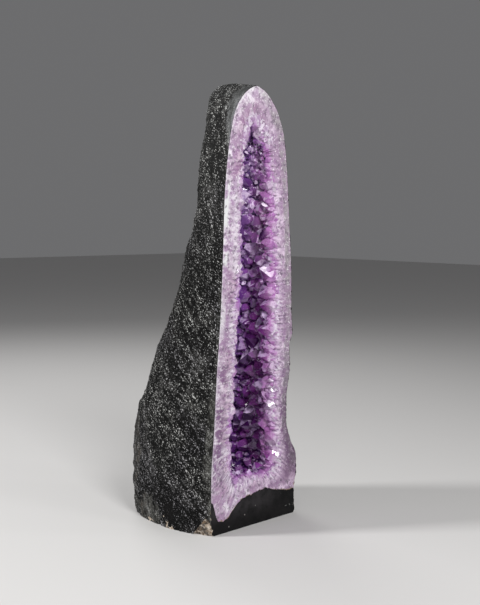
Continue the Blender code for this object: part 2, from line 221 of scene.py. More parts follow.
EDGE_RIDGE = [(-98.0, 81.0, 437.0), (-93.0, 104.0, 410.0), (-89.0, 131.0, 364.0), (-86.0, 150.0, 330.0)]
CROWN_RIDGE = [(-30.0, 6.0, 755.0), (-42.5, 15.5, 748.0), (-50.4, 24.0, 743.0), (-52.4, 58.0, 740.0)]


def rock_marks(point):
    """Push in millimetres, how much of the hammering is left, and how worn the rock is (below 0: the pit, painted dark
    as shade).
    """
    x, y, z = point / MM
    ragged = noise.noise(point * 60.0) * 0.4 + noise.noise(point * 190.0) * 0.35
    left = smooth(10.0, -40.0, x)
    patch = left * smooth(1.12, 0.92, math.hypot((y - 146) / 34, (z - 18) / 32) + ragged)
    band = left * 0.75 * smooth(1.25, 0.6, math.hypot((y - 200) / 30, (z - 120) / 95) + 1.4 * ragged)
    strip = smooth(1.0, 0.35, y / (strip_width(point.z) / MM) + ragged)
    notch = left * math.exp(-((y - 113.5 - 0.1 * z) / 3.0) ** 2) * smooth(30.0, 14.0, z)
    pit = left * smooth(1.25, 0.55, math.hypot((y - 87) / 13, (z - 28) / 17) + 0.5 * ragged)
    edge = math.exp(-(along_path(point / MM, EDGE_RIDGE) / 2.4) ** 2)
    crown = math.exp(-(along_path(point / MM, CROWN_RIDGE) / 2.4) ** 2)
    step = smooth(0.0, 5.0, (y - 81) + (z - 437) * 0.685) * smooth(330.0, 360.0, z) * left
    step *= smooth(470.0, 437.0, z)
    under_crown = smooth(640.0, 700.0, z)
    low = smooth(330.0, 180.0, z)
    worn = max(0.85 * patch, 0.75 * band, (0.4 + 0.4 * low + 0.4 * under_crown) * strip, 0.9 * edge, 0.8 * crown)
    left_rough = (1 - (0.4 + 0.4 * under_crown) * strip) * (1 - 0.6 * patch) * (1 - 0.5 * band) * (1 - 0.6 * crown)
    left_rough *= 1 - 0.7 * pit
    push = 1.6 * edge + 1.3 * crown - 3.5 * notch - 1.6 * step - 0.8 * patch - 3.4 * pit
    return push, left_rough, worn * (1 - pit) - 0.6 * pit


def rock_surface(grid):
    """The side with its swellings, marks and hammered lumps; each point's lump, and its wear with the pit's painted
    shade below 0.
    """
    normals = flat_normals(grid)
    moved = grid.copy()
    lumps = np.zeros(grid.shape[:2])
    wear = np.zeros(grid.shape[:2])
    for i, j in np.ndindex(grid.shape[:2]):
        point = Vector(grid[i, j])
        fade = max(0.0, min(1.0, point.y / (22 * MM), (TOP - point.z) / (40 * MM)))
        broad = noise.noise(point * 9.0 + Vector((3.1, 0.4, 7.7)))
        small = noise.noise(point * 48.0 + Vector((0.3, 5.2, 1.9)))
        coarse = noise.noise(point * 95.0)
        patch = smooth(-0.3, 0.15, noise.noise(point * 26.0 + Vector((8.0, 1.0, 4.0))))
        mark, left_rough, wear[i, j] = rock_marks(point)
        rough = left_rough * (0.6 + 0.4 * patch)
        lump = hammered(point)
        lumps[i, j] = lump * rough
        push = fade * (3.6 * broad + 3.2 * small) + mark + rough * (1.75 * lump + 0.9 * coarse)
        moved[i, j] += normals[i, j] * push * MM
    return moved, lumps, wear


side_heights = np.linspace(0.0, FULL_TOP, SIDE_ROWS)
crown_share = np.sin(np.linspace(0.0, math.pi / 2, CROWN_ROWS))[1:]
fine_heights = np.concatenate([side_heights, FULL_TOP + (TOP - FULL_TOP) * crown_share])
side_grid, side_lumps, side_wear_and_pit_shade = rock_surface(body_levels(fine_heights, SIDE_COLUMNS))
print("Rock grid", side_grid.shape, "lumps", round(side_lumps.min(), 2), round(side_lumps.max(), 2))


# %% Close the rock
def ridge_of(row, share):
    """The short ridge that closes the top: each point is brought to the middle of its pair."""
    ridge = row.copy()
    last = len(row) - 1
    across = (row[0, 0] + row[last, 0]) / 2
    for j in range(last // 2 + 1):
        pair = (row[j] + row[last - j]) / 2
        ridge[j] = ridge[last - j] = (across, share * pair[1], pair[2] + RIDGE_STEP)
    return ridge


def ring_faces(rows, around):
    """Quads between closed rings of points that are numbered row by row."""
    faces = []
    for i in range(rows - 1):
        for j in range(around):
            k = (j + 1) % around
            faces.append((i * around + j, i * around + k, (i + 1) * around + k, (i + 1) * around + j))
    return faces


def add_front(grid, columns, ridge):
    """Rings with the flat sawn face filled in by points between the two front corners."""
    shares = np.linspace(0.0, 1.0, columns + 2)[1:-1, None]
    rings = []
    for row in list(grid) + [ridge]:
        rings.append(np.concatenate([row, row[-1] * (1 - shares) + row[0] * shares]))
    return np.array(rings)


def tidy_mesh(mesh, apart=0.02 * MM):
    """Merges doubled points, drops slivers and turns every face outwards."""
    bm = bmesh.new()
    bm.from_mesh(mesh)
    bmesh.ops.remove_doubles(bm, verts=bm.verts, dist=apart)
    bmesh.ops.dissolve_degenerate(bm, edges=bm.edges, dist=apart * 0.5)
    return filled(mesh, bm)


def filled(mesh, bm):
    """The mesh with what a bmesh holds, its faces turned outwards."""
    bmesh.ops.recalc_face_normals(bm, faces=bm.faces)
    bm.to_mesh(mesh)
    bm.free()
    return mesh


def store(mesh, name, values, kind="FLOAT", domain="POINT"):
    """Keeps a named value for each point of a mesh, or each face."""
    layer = mesh.attributes.new(name, kind, domain)
    layer.data.foreach_set("vector" if kind == "FLOAT_VECTOR" else "value", np.ravel(values))


def read(items, name, wide=1, kind=float):
    """One property of all points, faces or corners, as an array with 'wide' numbers a row."""
    values = np.zeros(len(items) * wide, dtype=kind)
    items.foreach_get(name, values)
    return values.reshape(-1, wide) if wide > 1 else values


def solid(name, rings, closed=False):
    """A mesh from rings of equal length: quads between them and, if closed, a fan on the first."""
    around = rings.shape[1]
    verts = [tuple(point) for point in rings.reshape(-1, 3)]
    faces = ring_faces(*rings.shape[:2])
    if closed:
        verts.append(tuple(rings[0].mean(axis=0)))
        faces += [((j + 1) % around, j, len(verts) - 1) for j in range(around)]
    mesh = bpy.data.meshes.new(name)
    mesh.from_pydata(verts, [], faces)
    return mesh


def show(mesh, *materials):
    """An object at the origin that wears the materials."""
    obj = bpy.data.objects.new(mesh.name, mesh)
    bpy.context.scene.collection.objects.link(obj)
    for material in materials:
        mesh.materials.append(material)
    return obj


rock_rings = add_front(side_grid, FRONT_COLUMNS, ridge_of(side_grid[-1], 0.86))
rock_mesh = solid("basalt_rind", rock_rings, closed=True)
for name, grid in (("lump", side_lumps), ("worn", side_wear_and_pit_shade)):
    values = np.zeros(rock_rings.shape[:2])
    values[:len(grid), :grid.shape[1]] = grid
    store(rock_mesh, name, [*values.reshape(-1), 0.0])
tidy_mesh(rock_mesh)
print("Rock before its bed is cut:", len(rock_mesh.polygons), "faces")

# %% [markdown]
# ## The bed for the crust, and the knocked corners
# The crust sits in the rock, and a few corners of the foot are broken, showing paler stone. Both
# are cut with one exact Boolean, and the cutters' own materials carry over to the faces they
# leave, so the breaks get their tan colour without any painting.


# %% Cutters
def inset_levels(grid, front_wall, inner_wall):
    """The side moved into the stone: thin at the sawn face, thicker behind it."""
    normals = flat_normals(grid)
    wall = front_wall + (inner_wall - front_wall) * np.clip(grid[:, :, 1] / (30 * MM), 0.0, 1.0)
    lean = np.abs(normals[:, :, 0])
    lean[:, (0, -1)] = 1.0 / lean[:, (0, -1)]
    middle = (grid[:, :1, 0] + grid[:, -1:, 0]) / 2
    off = grid[:, :, 0] - middle
    reach = np.maximum(np.abs(off) * 0.55, np.abs(off) - lean * wall)
    moved = grid.copy()
    moved[:, :, 0] = middle + np.sign(off) * reach
    moved[:, 1:-1, 1] -= (normals[:, :, 1] * wall)[:, 1:-1]
    crown = np.clip((grid[:, :, 2] - FULL_TOP) / (TOP - FULL_TOP), 0.0, 1.0)
    moved[:, :, 2] -= front_wall * crown
    return moved


def bed_cutter():
    """The crust's bed, from the rounded top down to the crust's lower border."""
    heights = np.concatenate([np.linspace(11 * MM, FULL_TOP, 60),
                              FULL_TOP + (TOP - FULL_TOP) * np.sin(np.linspace(0.2, 1.0, 7) * math.pi / 2)])
    grid = inset_levels(body_levels(heights, 30), 1.6 * MM, 9.0 * MM)
    for end, inner in ((0, 1), (-1, -2)):
        run = grid[:, end] - grid[:, inner]
        grid[:, end] = grid[:, end] + run * (4 * MM / -run[:, 1:2])
    rings = np.concatenate([grid, ridge_of(grid[-1], 0.86)[None]])
    return show(tidy_mesh(solid("crust_bed", rings, closed=True)))


def foot_cutter():
    """Everything under the crust's lower border."""
    border = even_points([(x * MM, z * MM) for x, z in CRUST_FOOT], 90)
    outline = [(x, z) for x, z in border] + [(0.15, -0.05), (-0.15, -0.05)]
    bm = bmesh.new()
    face = bm.faces.new([bm.verts.new((x, -0.06, z)) for x, z in outline])
    pulled = bmesh.ops.extrude_face_region(bm, geom=[face])
    moved = [item for item in pulled["geom"] if isinstance(item, bmesh.types.BMVert)]
    bmesh.ops.translate(bm, verts=moved, vec=(0.0, 0.45, 0.0))
    return show(filled(bpy.data.meshes.new("under_bed"), bm))


def flake(name, corners, thickness, seed):
    """A wedge that knocks a corner off: a rough sheet through three corners, thickened outwards."""
    a, b, c = (Vector(corner) * MM for corner in corners)
    normal = (b - a).cross(c - a).normalized()
    middle = (a + b + c) / 3
    if normal.dot(Vector((0.0, 120 * MM, middle.z)) - middle) > 0:
        normal.negate()
    bm = bmesh.new()
    bmesh.ops.create_grid(bm, x_segments=26, y_segments=26, size=1.0)
    pulled = bmesh.ops.extrude_face_region(bm, geom=bm.faces[:])
    top = {item for item in pulled["geom"] if isinstance(item, bmesh.types.BMVert)}
    for vert in bm.verts:
        u, v = (vert.co.x + 1) / 2, (vert.co.y + 1) / 2
        on_sheet = a + (b - a) * (u * 1.5 - 0.25) + (c - a) * (v * 1.5 - 0.25)
        on_sheet += normal * (12 * MM * max(0.0, u + v - 1.0))
        ridges = abs(noise.noise(on_sheet * 90.0 + Vector((seed, 0, 0))))
        ridges += 0.6 * noise.noise(on_sheet * 150.0 + Vector((0, 0, seed)))
        fine = noise.noise(on_sheet * 300.0 + Vector((0, seed, 0)))
        if vert in top:
            on_sheet += normal * thickness * MM
        else:
            on_sheet += normal * (5.2 * ridges - 1.6 + 0.9 * fine) * MM
        vert.co = on_sheet
    return show(filled(bpy.data.meshes.new(name), bm))


def evaluated(obj):
    """A plain mesh of the object with its modifiers worked out."""
    return bpy.data.meshes.new_from_object(obj.evaluated_get(bpy.context.evaluated_depsgraph_get()))


def volume_of(mesh):
    """Volume that a closed mesh holds."""
    bm = bmesh.new()
    bm.from_mesh(mesh)
    volume = bm.calc_volume()
    bm.free()
    return volume


def apply_cut(obj, cutter):
    """Takes the cutter's volume out of the object and deletes the cutter."""
    whole = volume_of(obj.data)
    most = volume_of(cutter.data)
    step = obj.modifiers.new("Cut", "BOOLEAN")
    step.operation = "DIFFERENCE"
    step.material_mode = "TRANSFER"
    step.object = cutter
    for step.solver in ("EXACT", "MANIFOLD") * 3:
        cut_mesh = evaluated(obj)
        left = volume_of(cut_mesh)
        if whole - most * 1.01 <= left <= whole * 1.001 and left > whole * 0.1:
            break
        print("The cut went wrong, so the cutter moves a hair and it is made again:", round(left / whole, 3))
        cutter.location.x += 0.01 * MM
    obj.modifiers.remove(step)
    old, name = obj.data, obj.data.name
    obj.data = cut_mesh
    bpy.data.meshes.remove(old)
    cut_mesh.name = name
    bpy.data.objects.remove(cutter)


# %% [markdown]
# ## Stone materials
# Three finishes: the weathered outside, with painted shade in its valleys, painted glints on its
# raised beads and grey-green where it is rubbed; the smooth charcoal foot; and the tan of a fresh
# break. Each is built from noise on Object coordinates, so it stays put when the camera moves.


# %% Material helpers
def enabled(sockets, name):
    """The socket of that name which the node uses in its present mode."""
    return next(socket for socket in sockets if socket.name == name and socket.enabled)


class Nodes:
    """Short ways to add and join the nodes of one tree."""

    def __init__(self, tree):
        self.tree = tree

    def node(self, kind, inputs=None, **settings):
        made = self.tree.nodes.new(kind)
        for name, value in settings.items():
            setattr(made, name, value)
        for key, value in (inputs or {}).items():
            self.put(made.inputs[key] if isinstance(key, int) else enabled(made.inputs, key), value)
        return made

    def put(self, socket, value):
        if isinstance(value, bpy.types.NodeSocket):
            self.tree.links.new(value, socket)
        elif socket.type == "RGBA":
            socket.default_value = (*value, 1.0)
        else:
            socket.default_value = value

    def math(self, how, a, b=0.0):
        return self.node("ShaderNodeMath", {0: a, 1: b}, operation=how).outputs[0]

    def times(self, product, *values):
        for value in values:
            product = self.math("MULTIPLY", product, value)
        return product


class Sheet(Nodes):
    """A new material, with the places, steps, noises and coats that a stone is built from."""

    def __init__(self, name):
        self.material = bpy.data.materials.new(name)
        self.material.use_nodes = True
        super().__init__(self.material.node_tree)
        self.where = self.node("ShaderNodeTexCoord").outputs["Object"]
        self.x, self.y, self.z = self.node("ShaderNodeSeparateXYZ", {0: self.where}).outputs

    def value(self, name):
        return self.node("ShaderNodeAttribute", attribute_name=name).outputs["Fac"]

    def step(self, value, low, high, to_low=0.0, to_high=1.0):
        inputs = {"Value": value, "From Min": low, "From Max": high, "To Min": to_low, "To Max": to_high}
        return self.node("ShaderNodeMapRange", inputs, interpolation_type="SMOOTHSTEP").outputs[0]

    def zone(self, value, low, high, *ends):
        """A step between two places in millimetres."""
        return self.step(value, low * MM, high * MM, *ends)

    def mapped(self, where, **inputs):
        return self.node("ShaderNodeMapping", {"Vector": where, **inputs}).outputs[0]

    def noise(self, scale, detail=2.0, rough=0.5, stretch=None, where=None):
        where = where or self.where
        if stretch:
            where = self.mapped(where, Scale=stretch)
        inputs = {"Vector": where, "Scale": scale, "Detail": detail, "Roughness": rough}
        return self.node("ShaderNodeTexNoise", inputs).outputs["Fac"]

    def cells(self, where, scale, feature="F1"):
        return self.node("ShaderNodeTexVoronoi", {"Vector": where, "Scale": scale}, feature=feature).outputs

    def shifted(self, where, by):
        return self.node("ShaderNodeVectorMath", {0: where, 1: by}, operation="ADD").outputs[0]

    def sway(self, base, part, weight, middle=0.5):
        """The base moved up and down by a noise, counted from the noise's middle."""
        return self.math("ADD", base, self.times(self.math("SUBTRACT", part, middle), weight))

    def mix(self, share, a, b, how="MIX"):
        return self.node("ShaderNodeMix", {0: share, 6: a, 7: b}, data_type="RGBA", blend_type=how).outputs[2]

    def coats(self, color, *coats):
        """Lays coats over a colour, each given as its share, its tone and at times a way to mix."""
        for share, tone, *how in coats:
            color = self.mix(share, color, tone, *how)
        return color

    def bump(self, height, depth, strength=1.0, normal=None):
        inputs = {"Height": height, "Distance": depth, "Strength": strength}
        if normal:
            inputs["Normal"] = normal
        return self.node("ShaderNodeBump", inputs).outputs[0]

    def finish(self, color, roughness, normal, **others):
        """Joins the results to the shader and hands over the material."""
        inputs = {"Base Color": color, "Roughness": roughness, "Normal": normal, **others}
        for name, value in inputs.items():
            self.put(self.tree.nodes["Principled BSDF"].inputs[name], value)
        return self.material


# %% Weathered rock
def weathered_rock():
    m = Sheet("weathered_basalt")
    lump, worn = m.value("lump"), m.value("worn")
    turned = m.mapped(m.where, Rotation=(math.radians(-45), 0, 0))
    slanted = m.mapped(turned, Scale=(540.0, 225.0, 580.0))
    bend = m.node("ShaderNodeTexNoise", {"Vector": slanted, "Scale": 0.25, "Detail": 1.0}).outputs["Color"]
    beads = m.cells(m.shifted(slanted, bend), 1.0)
    own = m.node("ShaderNodeSeparateColor", {0: beads["Color"]}).outputs[0]
    speckle, cloud, broad = m.noise(520.0, 3.0, 0.6), m.noise(26.0, 3.0, 0.6), m.noise(8.0)
    blotch = m.noise(1.0, 4.0, 0.7, (150.0, 150.0, 62.0))
    steep = m.noise(1.0, 2.0, 0.5, (60.0, 20.0, 190.0), m.mapped(m.where, Rotation=(math.radians(-80), 0, 0)))
    band = m.mix(m.zone(m.z, 380, 520), m.noise(1.0, 2.0, 0.5, (60.0, 17.0, 165.0), turned), steep)
    bead = m.math("SUBTRACT", m.step(beads["Distance"], 0.60, 0.10), 0.5)
    hammer = m.times(bead, m.step(worn, 0.2, 0.8, 1.0, 0.35))
    raised = m.math("ADD", m.times(lump, 0.45), hammer)
    for part, weight in ((speckle, 1.5), (cloud, 1.0), (band, 1.9)):
        raised = m.sway(raised, part, weight)
    # Painted glints: near-white colour on the raised beads, in place of light shining off them.
    painted_glints = m.times(m.step(own, 0.12, 0.96), m.step(raised, -0.14, 0.66))
    tint = m.mix(m.step(broad, 0.40, 0.60), (0.78, 0.77, 0.80), (1.14, 1.15, 1.10))
    near = m.sway(m.y, blotch, 30 * MM)
    high = m.math("ADD", m.z, m.times(cloud, 40 * MM))
    crown = m.mix(m.step(speckle, 0.40, 0.62), (0.030, 0.031, 0.030), (0.18, 0.182, 0.180))
    lit = m.mix(m.step(speckle, 0.38, 0.62), (0.085, 0.088, 0.086), (0.20, 0.202, 0.206))
    crown = m.coats(crown, (m.zone(near, -100, -124), lit),
                    (m.zone(m.y, -131.6, -132.8, 0.0, 0.7), (0.24, 0.24, 0.27)))
    pale = m.mix(m.step(speckle, 0.38, 0.62), (0.020, 0.020, 0.018), (0.180, 0.179, 0.166))
    pale = m.coats(
        pale, (m.step(blotch, 0.54, 0.44, 0.0, 0.95), (0.009, 0.008, 0.007)),
        (m.times(m.step(blotch, 0.50, 0.62), m.zone(m.y, 0, 40, 0.0, 0.8)), (0.080, 0.062, 0.048)),
        (m.zone(m.z, 610, 690), crown), (m.step(band, 0.47, 0.36, 0.0, 0.5), (0.014, 0.014, 0.013)),
        # The painted glints go on the rubbed rock too, at half strength.
        (m.times(painted_glints, 0.5), (0.50, 0.50, 0.49)), (m.zone(high, 748, 764), (0.05, 0.052, 0.052)))
    wear = m.sway(m.sway(worn, cloud, 0.9), blotch, 0.8)
    # Near black where the surface sits low, mid grey where it is raised: partly random tone from the noises, partly
    # painted shade in the valleys between the lumps. The painted glints go on top.
    color = m.mix(m.step(raised, -0.42, 0.42), (0.002, 0.002, 0.002), (0.074, 0.072, 0.072))
    color = m.coats(
        color, (painted_glints, (0.82, 0.815, 0.82)), (1.0, tint, "MULTIPLY"),
        (m.step(cloud, 0.50, 0.75, 0.0, 0.3), (0.060, 0.058, 0.055)),
        (m.zone(m.z, 430, 640, 0.0, 0.12), (0.072, 0.072, 0.071)),
        # The pale coat is wear; the near-black coat after it is painted shade in the dented pit.
        (m.step(wear, 0.20, 0.85, 0.0, 0.90), pale), (m.step(worn, -0.05, -0.5, 0.0, 0.9), (0.004, 0.0035, 0.0035)))
    normal = m.bump(m.noise(800.0, 3.0, 0.6), 0.35 * MM, 0.6, m.bump(hammer, 1.7 * MM))
    return m.finish(color, m.step(raised, -0.2, 0.7, 0.90, 0.26), normal, **{"Specular IOR Level": 0.2})


def broken_stone():
    m = Sheet("broken_stone")
    grain, stain = m.noise(160.0, 4.0, 0.6), m.noise(135.0, 3.0, 0.6)
    crack = m.cells(m.shifted(m.where, m.times(stain, 22 * MM)), 44.0, "DISTANCE_TO_EDGE")["Distance"]
    color = m.mix(m.step(stain, 0.42, 0.58), (0.62, 0.54, 0.45), (0.22, 0.155, 0.10))
    color = m.coats(color, (m.step(grain, 0.56, 0.68, 0.0, 0.8), (0.80, 0.76, 0.70)),
                    (m.step(grain, 0.42, 0.32, 0.0, 0.8), (0.10, 0.07, 0.05)),
                    (m.step(crack, 0.13, 0.04, 0.0, 0.85), (0.035, 0.026, 0.020)))
    return m.finish(color, 0.75, m.bump(grain, 1.2 * MM, 0.8))


def smooth_foot():
    m = Sheet("smooth_foot")
    cloud = m.noise(45.0, 4.0, 0.6)
    specks = m.cells(m.where, 75.0)
    chosen = m.step(m.node("ShaderNodeSeparateColor", {0: specks["Color"]}).outputs[0], 0.80, 0.82)
    dusty = m.times(m.zone(m.x, 80, 10), m.zone(m.z, 12, 40), m.step(cloud, 0.34, 0.62, 0.35, 1.0))
    color = m.mix(m.step(cloud, 0.3, 0.7), (0.0022, 0.0022, 0.0026), (0.0075, 0.0068, 0.0073))
    color = m.coats(color, (dusty, (0.026, 0.024, 0.026)),
                    (m.times(m.step(specks["Distance"], 0.12, 0.04), chosen, 0.8), (0.40, 0.39, 0.37)))
    return m.finish(color, m.step(cloud, 0.3, 0.7, 0.62, 0.5), m.bump(m.noise(500.0), 0.2 * MM, 0.4),
                    **{"Specular IOR Level": 0.15})


ROCK, BROKEN, FOOT = weathered_rock(), broken_stone(), smooth_foot()

# %% Cut the bed and the breaks
FLAKES = [("front_corner", ((-117.5, -1, 34), (-120.5, 29, -2), (-110.5, -2, -3)), 16),
          ("side_chip", ((-135.5, 94, 17), (-134, 110, -2), (-132, 80, -2)), 12),
          ("patch_edge", ((-128, 146, 5), (-123, 176, -3), (-130, 116, -3)), 12),
          ("right_corner", ((101, -1, 12), (107, 24, -2), (92, -2, -3)), 12)]
rock = show(rock_mesh, ROCK)
bed = bed_cutter()
apply_cut(bed, foot_cutter())
bed.data.materials.append(ROCK)
apply_cut(rock, bed)
for number, (name, corners, thickness) in enumerate(FLAKES):
    cutter = flake(name, corners, thickness, number)
    cutter.data.materials.append(BROKEN)
    apply_cut(rock, cutter)
rock.data.materials.append(FOOT)
foot_slot = len(rock.data.materials) - 1
for polygon in rock.data.polygons:
    on_foot = polygon.center.z < 60 * MM and -92 * MM < polygon.center.x < 92 * MM
    least = -0.90 if on_foot else -0.98
    if polygon.normal.y < least and polygon.center.y < 0.4 * MM and polygon.material_index == 0:
        polygon.material_index = foot_slot
print("Rock:", len(rock.data.polygons), "faces,", [m.name for m in rock.data.materials if m])


# %% [markdown]
# ## Rays from the hollow's spine
# The crust grew from the wall towards the middle, so its columns all point at the hollow's
# spine. A ray is sent from the spine every millimetre or so, fanned out at both ends. Where it
# meets the hollow's edge and the rock's edge gives each column its two ends.

# %% Rays and their two edges
SPINE_FOOT = 150 * MM
SPINE_TOP = 640 * MM
RAY_STEP = 1.35 * MM
FAN_RAYS = 92


def spine_at(height):
    """Middle of the hollow at a height, on the sawn face."""
    return (curve_value(HOLLOW_LEFT, height) + curve_value(HOLLOW_RIGHT, height)) / 2


def cast(origins, directions, line):
    """Distance from each origin along its direction to a polyline, or infinity."""
    line = np.array(line)
    a, b = line[:-1], line[1:]
    edge = b - a
    found = np.full(len(origins), np.inf)
    for k, (origin, direction) in enumerate(zip(origins, directions)):
        cross = direction[0] * edge[:, 1] - direction[1] * edge[:, 0]
        off = a - origin
        with np.errstate(divide="ignore", invalid="ignore"):
            along = (off[:, 0] * edge[:, 1] - off[:, 1] * edge[:, 0]) / cross
            share = (off[:, 0] * direction[1] - off[:, 1] * direction[0]) / cross
        hit = (np.abs(cross) > 1e-12) & (along > 0) & (share >= -1e-9) & (share <= 1 + 1e-9)
        if hit.any():
            found[k] = along[hit].min()
    return found


side_z = np.linspace(SPINE_FOOT, SPINE_TOP, round((SPINE_TOP - SPINE_FOOT) / RAY_STEP))
quarter = np.linspace(0.0, math.pi / 2, FAN_RAYS)
low, high = (spine_at(SPINE_FOOT), SPINE_FOOT), (spine_at(SPINE_TOP), SPINE_TOP)
spine = [(spine_at(z), z) for z in side_z]
rays_sent = [(low, (-math.sin(angle), -math.cos(angle))) for angle in quarter[:-1]]
rays_sent += [(origin, (-1.0, 0.0)) for origin in spine]
rays_sent += [(high, (-math.cos(angle), math.sin(angle)))
              for angle in np.linspace(0.0, math.pi, 2 * FAN_RAYS)[1:-1]]
rays_sent += [(origin, (1.0, 0.0)) for origin in spine[::-1]]
rays_sent += [(low, (math.sin(angle), -math.cos(angle))) for angle in quarter[::-1][1:-1]]
origins, directions = (np.array(part) for part in zip(*rays_sent))

edge_heights = np.concatenate([np.linspace(0.0, FULL_TOP, 200),
                               FULL_TOP + (TOP - FULL_TOP) * np.sin(np.linspace(0.02, 1.0, 50) * math.pi / 2)])
left_line = [(curve_value(LEFT_EDGE, z), z) for z in edge_heights]
right_line = [(curve_value(RIGHT_EDGE, z), z) for z in edge_heights]
ridge_point = ((left_line[-1][0] + right_line[-1][0]) / 2, TOP + RIDGE_STEP)
stone_line = left_line + [ridge_point] + right_line[::-1]
hollow_z = np.linspace(82 * MM, 702 * MM, 240)
hollow_line = ([(curve_value(HOLLOW_LEFT, z), z) for z in hollow_z]
               + [(curve_value(HOLLOW_RIGHT, z), z) for z in hollow_z[::-1]])
hollow_line.append(hollow_line[0])
border_line = even_points([(x * MM, z * MM) for x, z in CRUST_FOOT], 200)
for number, (x, z) in enumerate(border_line):
    serration = abs(noise.noise(Vector((x * 190, z * 90, 3.0))))
    border_line[number, 1] += (1.6 * noise.noise(Vector((x * 110, z * 60, 5.0))) + 1.2 - 5.0 * serration) * MM

RIM_EDGE = 0.9 * MM
EASING_ROUNDS = 40
outer_reach = np.minimum(cast(origins, directions, stone_line) - RIM_EDGE,
                         cast(origins, directions, border_line))
inner_reach = cast(origins, directions, hollow_line)
for _ in range(EASING_ROUNDS):
    inner_reach = (np.roll(inner_reach, 1) + 2 * inner_reach + np.roll(inner_reach, -1)) / 4
rays = len(origins)
middle_reach = (outer_reach + inner_reach) / 2
middle_points = origins + directions * middle_reach[:, None]
steps = np.linalg.norm(np.roll(middle_points, -1, axis=0) - middle_points, axis=1)
walked = np.concatenate([[0.0], np.cumsum(steps)])
print("Rays:", rays, "round the crust, mid line", round(walked[-1], 3), "m, rim",
      round((outer_reach - inner_reach).min(), 4), "to", round((outer_reach - inner_reach).max(), 4), "m")

# %% [markdown]
# ## The sawn rim
# Sawn quartz isn't flat to the eye: columns end unevenly at the hollow, and the saw and the
# years leave their boundaries as fine grooves. Each column is given its own width, length and
# level, from a seeded list, and the rim's grid follows them.

# %% Columns along the rim
COLUMN_WIDTHS = (4.0 * MM, 16.0 * MM, 7.5 * MM)
LEFT_SHIFT = [(0, 0), (136, 0), (158, 4.5), (180, 1), (220, 0), (300, 2.2), (360, 2.0), (400, -2.2),
              (560, -2.2), (600, 0), (757.5, 0)]
RIM_ROWS = 27
WALL_ROWS = 22

column_rng = random.Random(4)
ends = [0.0]
while ends[-1] < walked[-1]:
    ends.append(ends[-1] + column_rng.triangular(*COLUMN_WIDTHS))
ends = np.array(ends) * walked[-1] / ends[-1]
column_length = np.array([column_rng.gauss(0.0, 1.0) for _ in ends])
column_level = np.array([column_rng.uniform(-1.0, 1.0) for _ in ends])
column_shade = np.array([column_rng.random() for _ in ends])
column_notch = np.array([column_rng.uniform(-0.1, 0.85) for _ in ends])
column_cleft = np.array([column_rng.uniform(0.25, 1.3) for _ in ends])
share_rows = 1.0 - (1.0 - np.linspace(0.0, 1.0, RIM_ROWS)) ** 1.25
wander = np.array([[noise.noise(Vector((walked[s] * 60, share * 3.0, 2.0))) for share in share_rows]
                   for s in range(rays)]) * 2.4 * MM
lip_depth = 3.0 + 6.0 * np.clip(directions[:, 0], 0.0, 1.0) + 3.5 * np.clip(-directions[:, 1], 0.0, 1.0)
bays = np.array([noise.noise(Vector((walked[s] * 24, 6.0, 1.0))) for s in range(rays)])
inner_reach = inner_reach + bays * (1.5 + 4.5 * np.clip(directions[:, 0], 0.0, 1.0)) * MM
shift = np.array([curve_value(LEFT_SHIFT, z) for z in middle_points[:, 1]])
inner_reach = inner_reach + shift * np.clip(-directions[:, 0], 0.0, 1.0)
cleft = np.array([1.0 - 0.72 * smooth(400 * MM, 480 * MM, z) for z in middle_points[:, 1]])


def column_at(place):
    """Number of the column at a place round the crust, and how far across it the place is."""
    place = place % walked[-1]
    k = min(int(np.searchsorted(ends, place, side="right")) - 1, len(ends) - 2)
    return k, (place - ends[k]) / (ends[k + 1] - ends[k])


rim_grid = np.zeros((RIM_ROWS, rays, 3))
groove, shade = np.zeros((2, RIM_ROWS, rays))
for s in range(rays):
    for r, share in enumerate(share_rows):
        k, across = column_at(walked[s] + wander[s, r] * share)
        bulge = 1.0 - abs(2 * across - 1) ** 1.7
        tooth = (1.8 * column_length[k] + 3.6 * (bulge - 0.6)) * MM
        inner = inner_reach[s] - tooth
        reach = outer_reach[s] + (inner - outer_reach[s]) * share
        notch = (1 - bulge) * smooth(column_notch[k], 1.0, share) * cleft[s] * column_cleft[k]
        pits = noise.noise(Vector((walked[s] * 190, share * 11, 4.0)))
        depth = -0.35 + 0.30 * pits + 0.5 * max(0.0, pits - 0.25)
        depth += 0.45 * (1 - bulge) * cleft[s] * smooth(0.1, 0.5, share) + 0.30 * column_level[k] * share
        depth += 3.0 * notch + lip_depth[s] * max(0.0, (share - 0.6) / 0.4) ** 2
        x, z = origins[s] + directions[s] * reach
        rim_grid[r, s] = (x, depth * MM, z)
        groove[r, s] = max(notch, 0.35 * (1 - bulge) * cleft[s] * smooth(0.05, 0.4, share))
        shade[r, s] = column_shade[k]
print("Columns:", len(ends) - 1, "rim rows", RIM_ROWS)

# %% [markdown]
# ## The wall of the hollow
# Behind the rim the wall swells out and then closes towards the back, like the inside of a
# bottle. It carries the rays on: each one leaves the rim, runs out to the widest place and
# comes in again to the spine at the back. The wall is only a bed, as the crystals cover it.

# %% Wall behind the rim
CRUST_SIDE = 34 * MM
ROCK_WALL = 8 * MM
CRUST_BACK = 40 * MM
stone_half = {}


def stone_size(height):
    """Half width and depth of the stone at a height."""
    key = round(height, 5)
    if key not in stone_half:
        level = outer_level(height, 160)
        stone_half[key] = (np.ptp(level[:, 0]) / 2, level[:, 1].max())
    return stone_half[key]


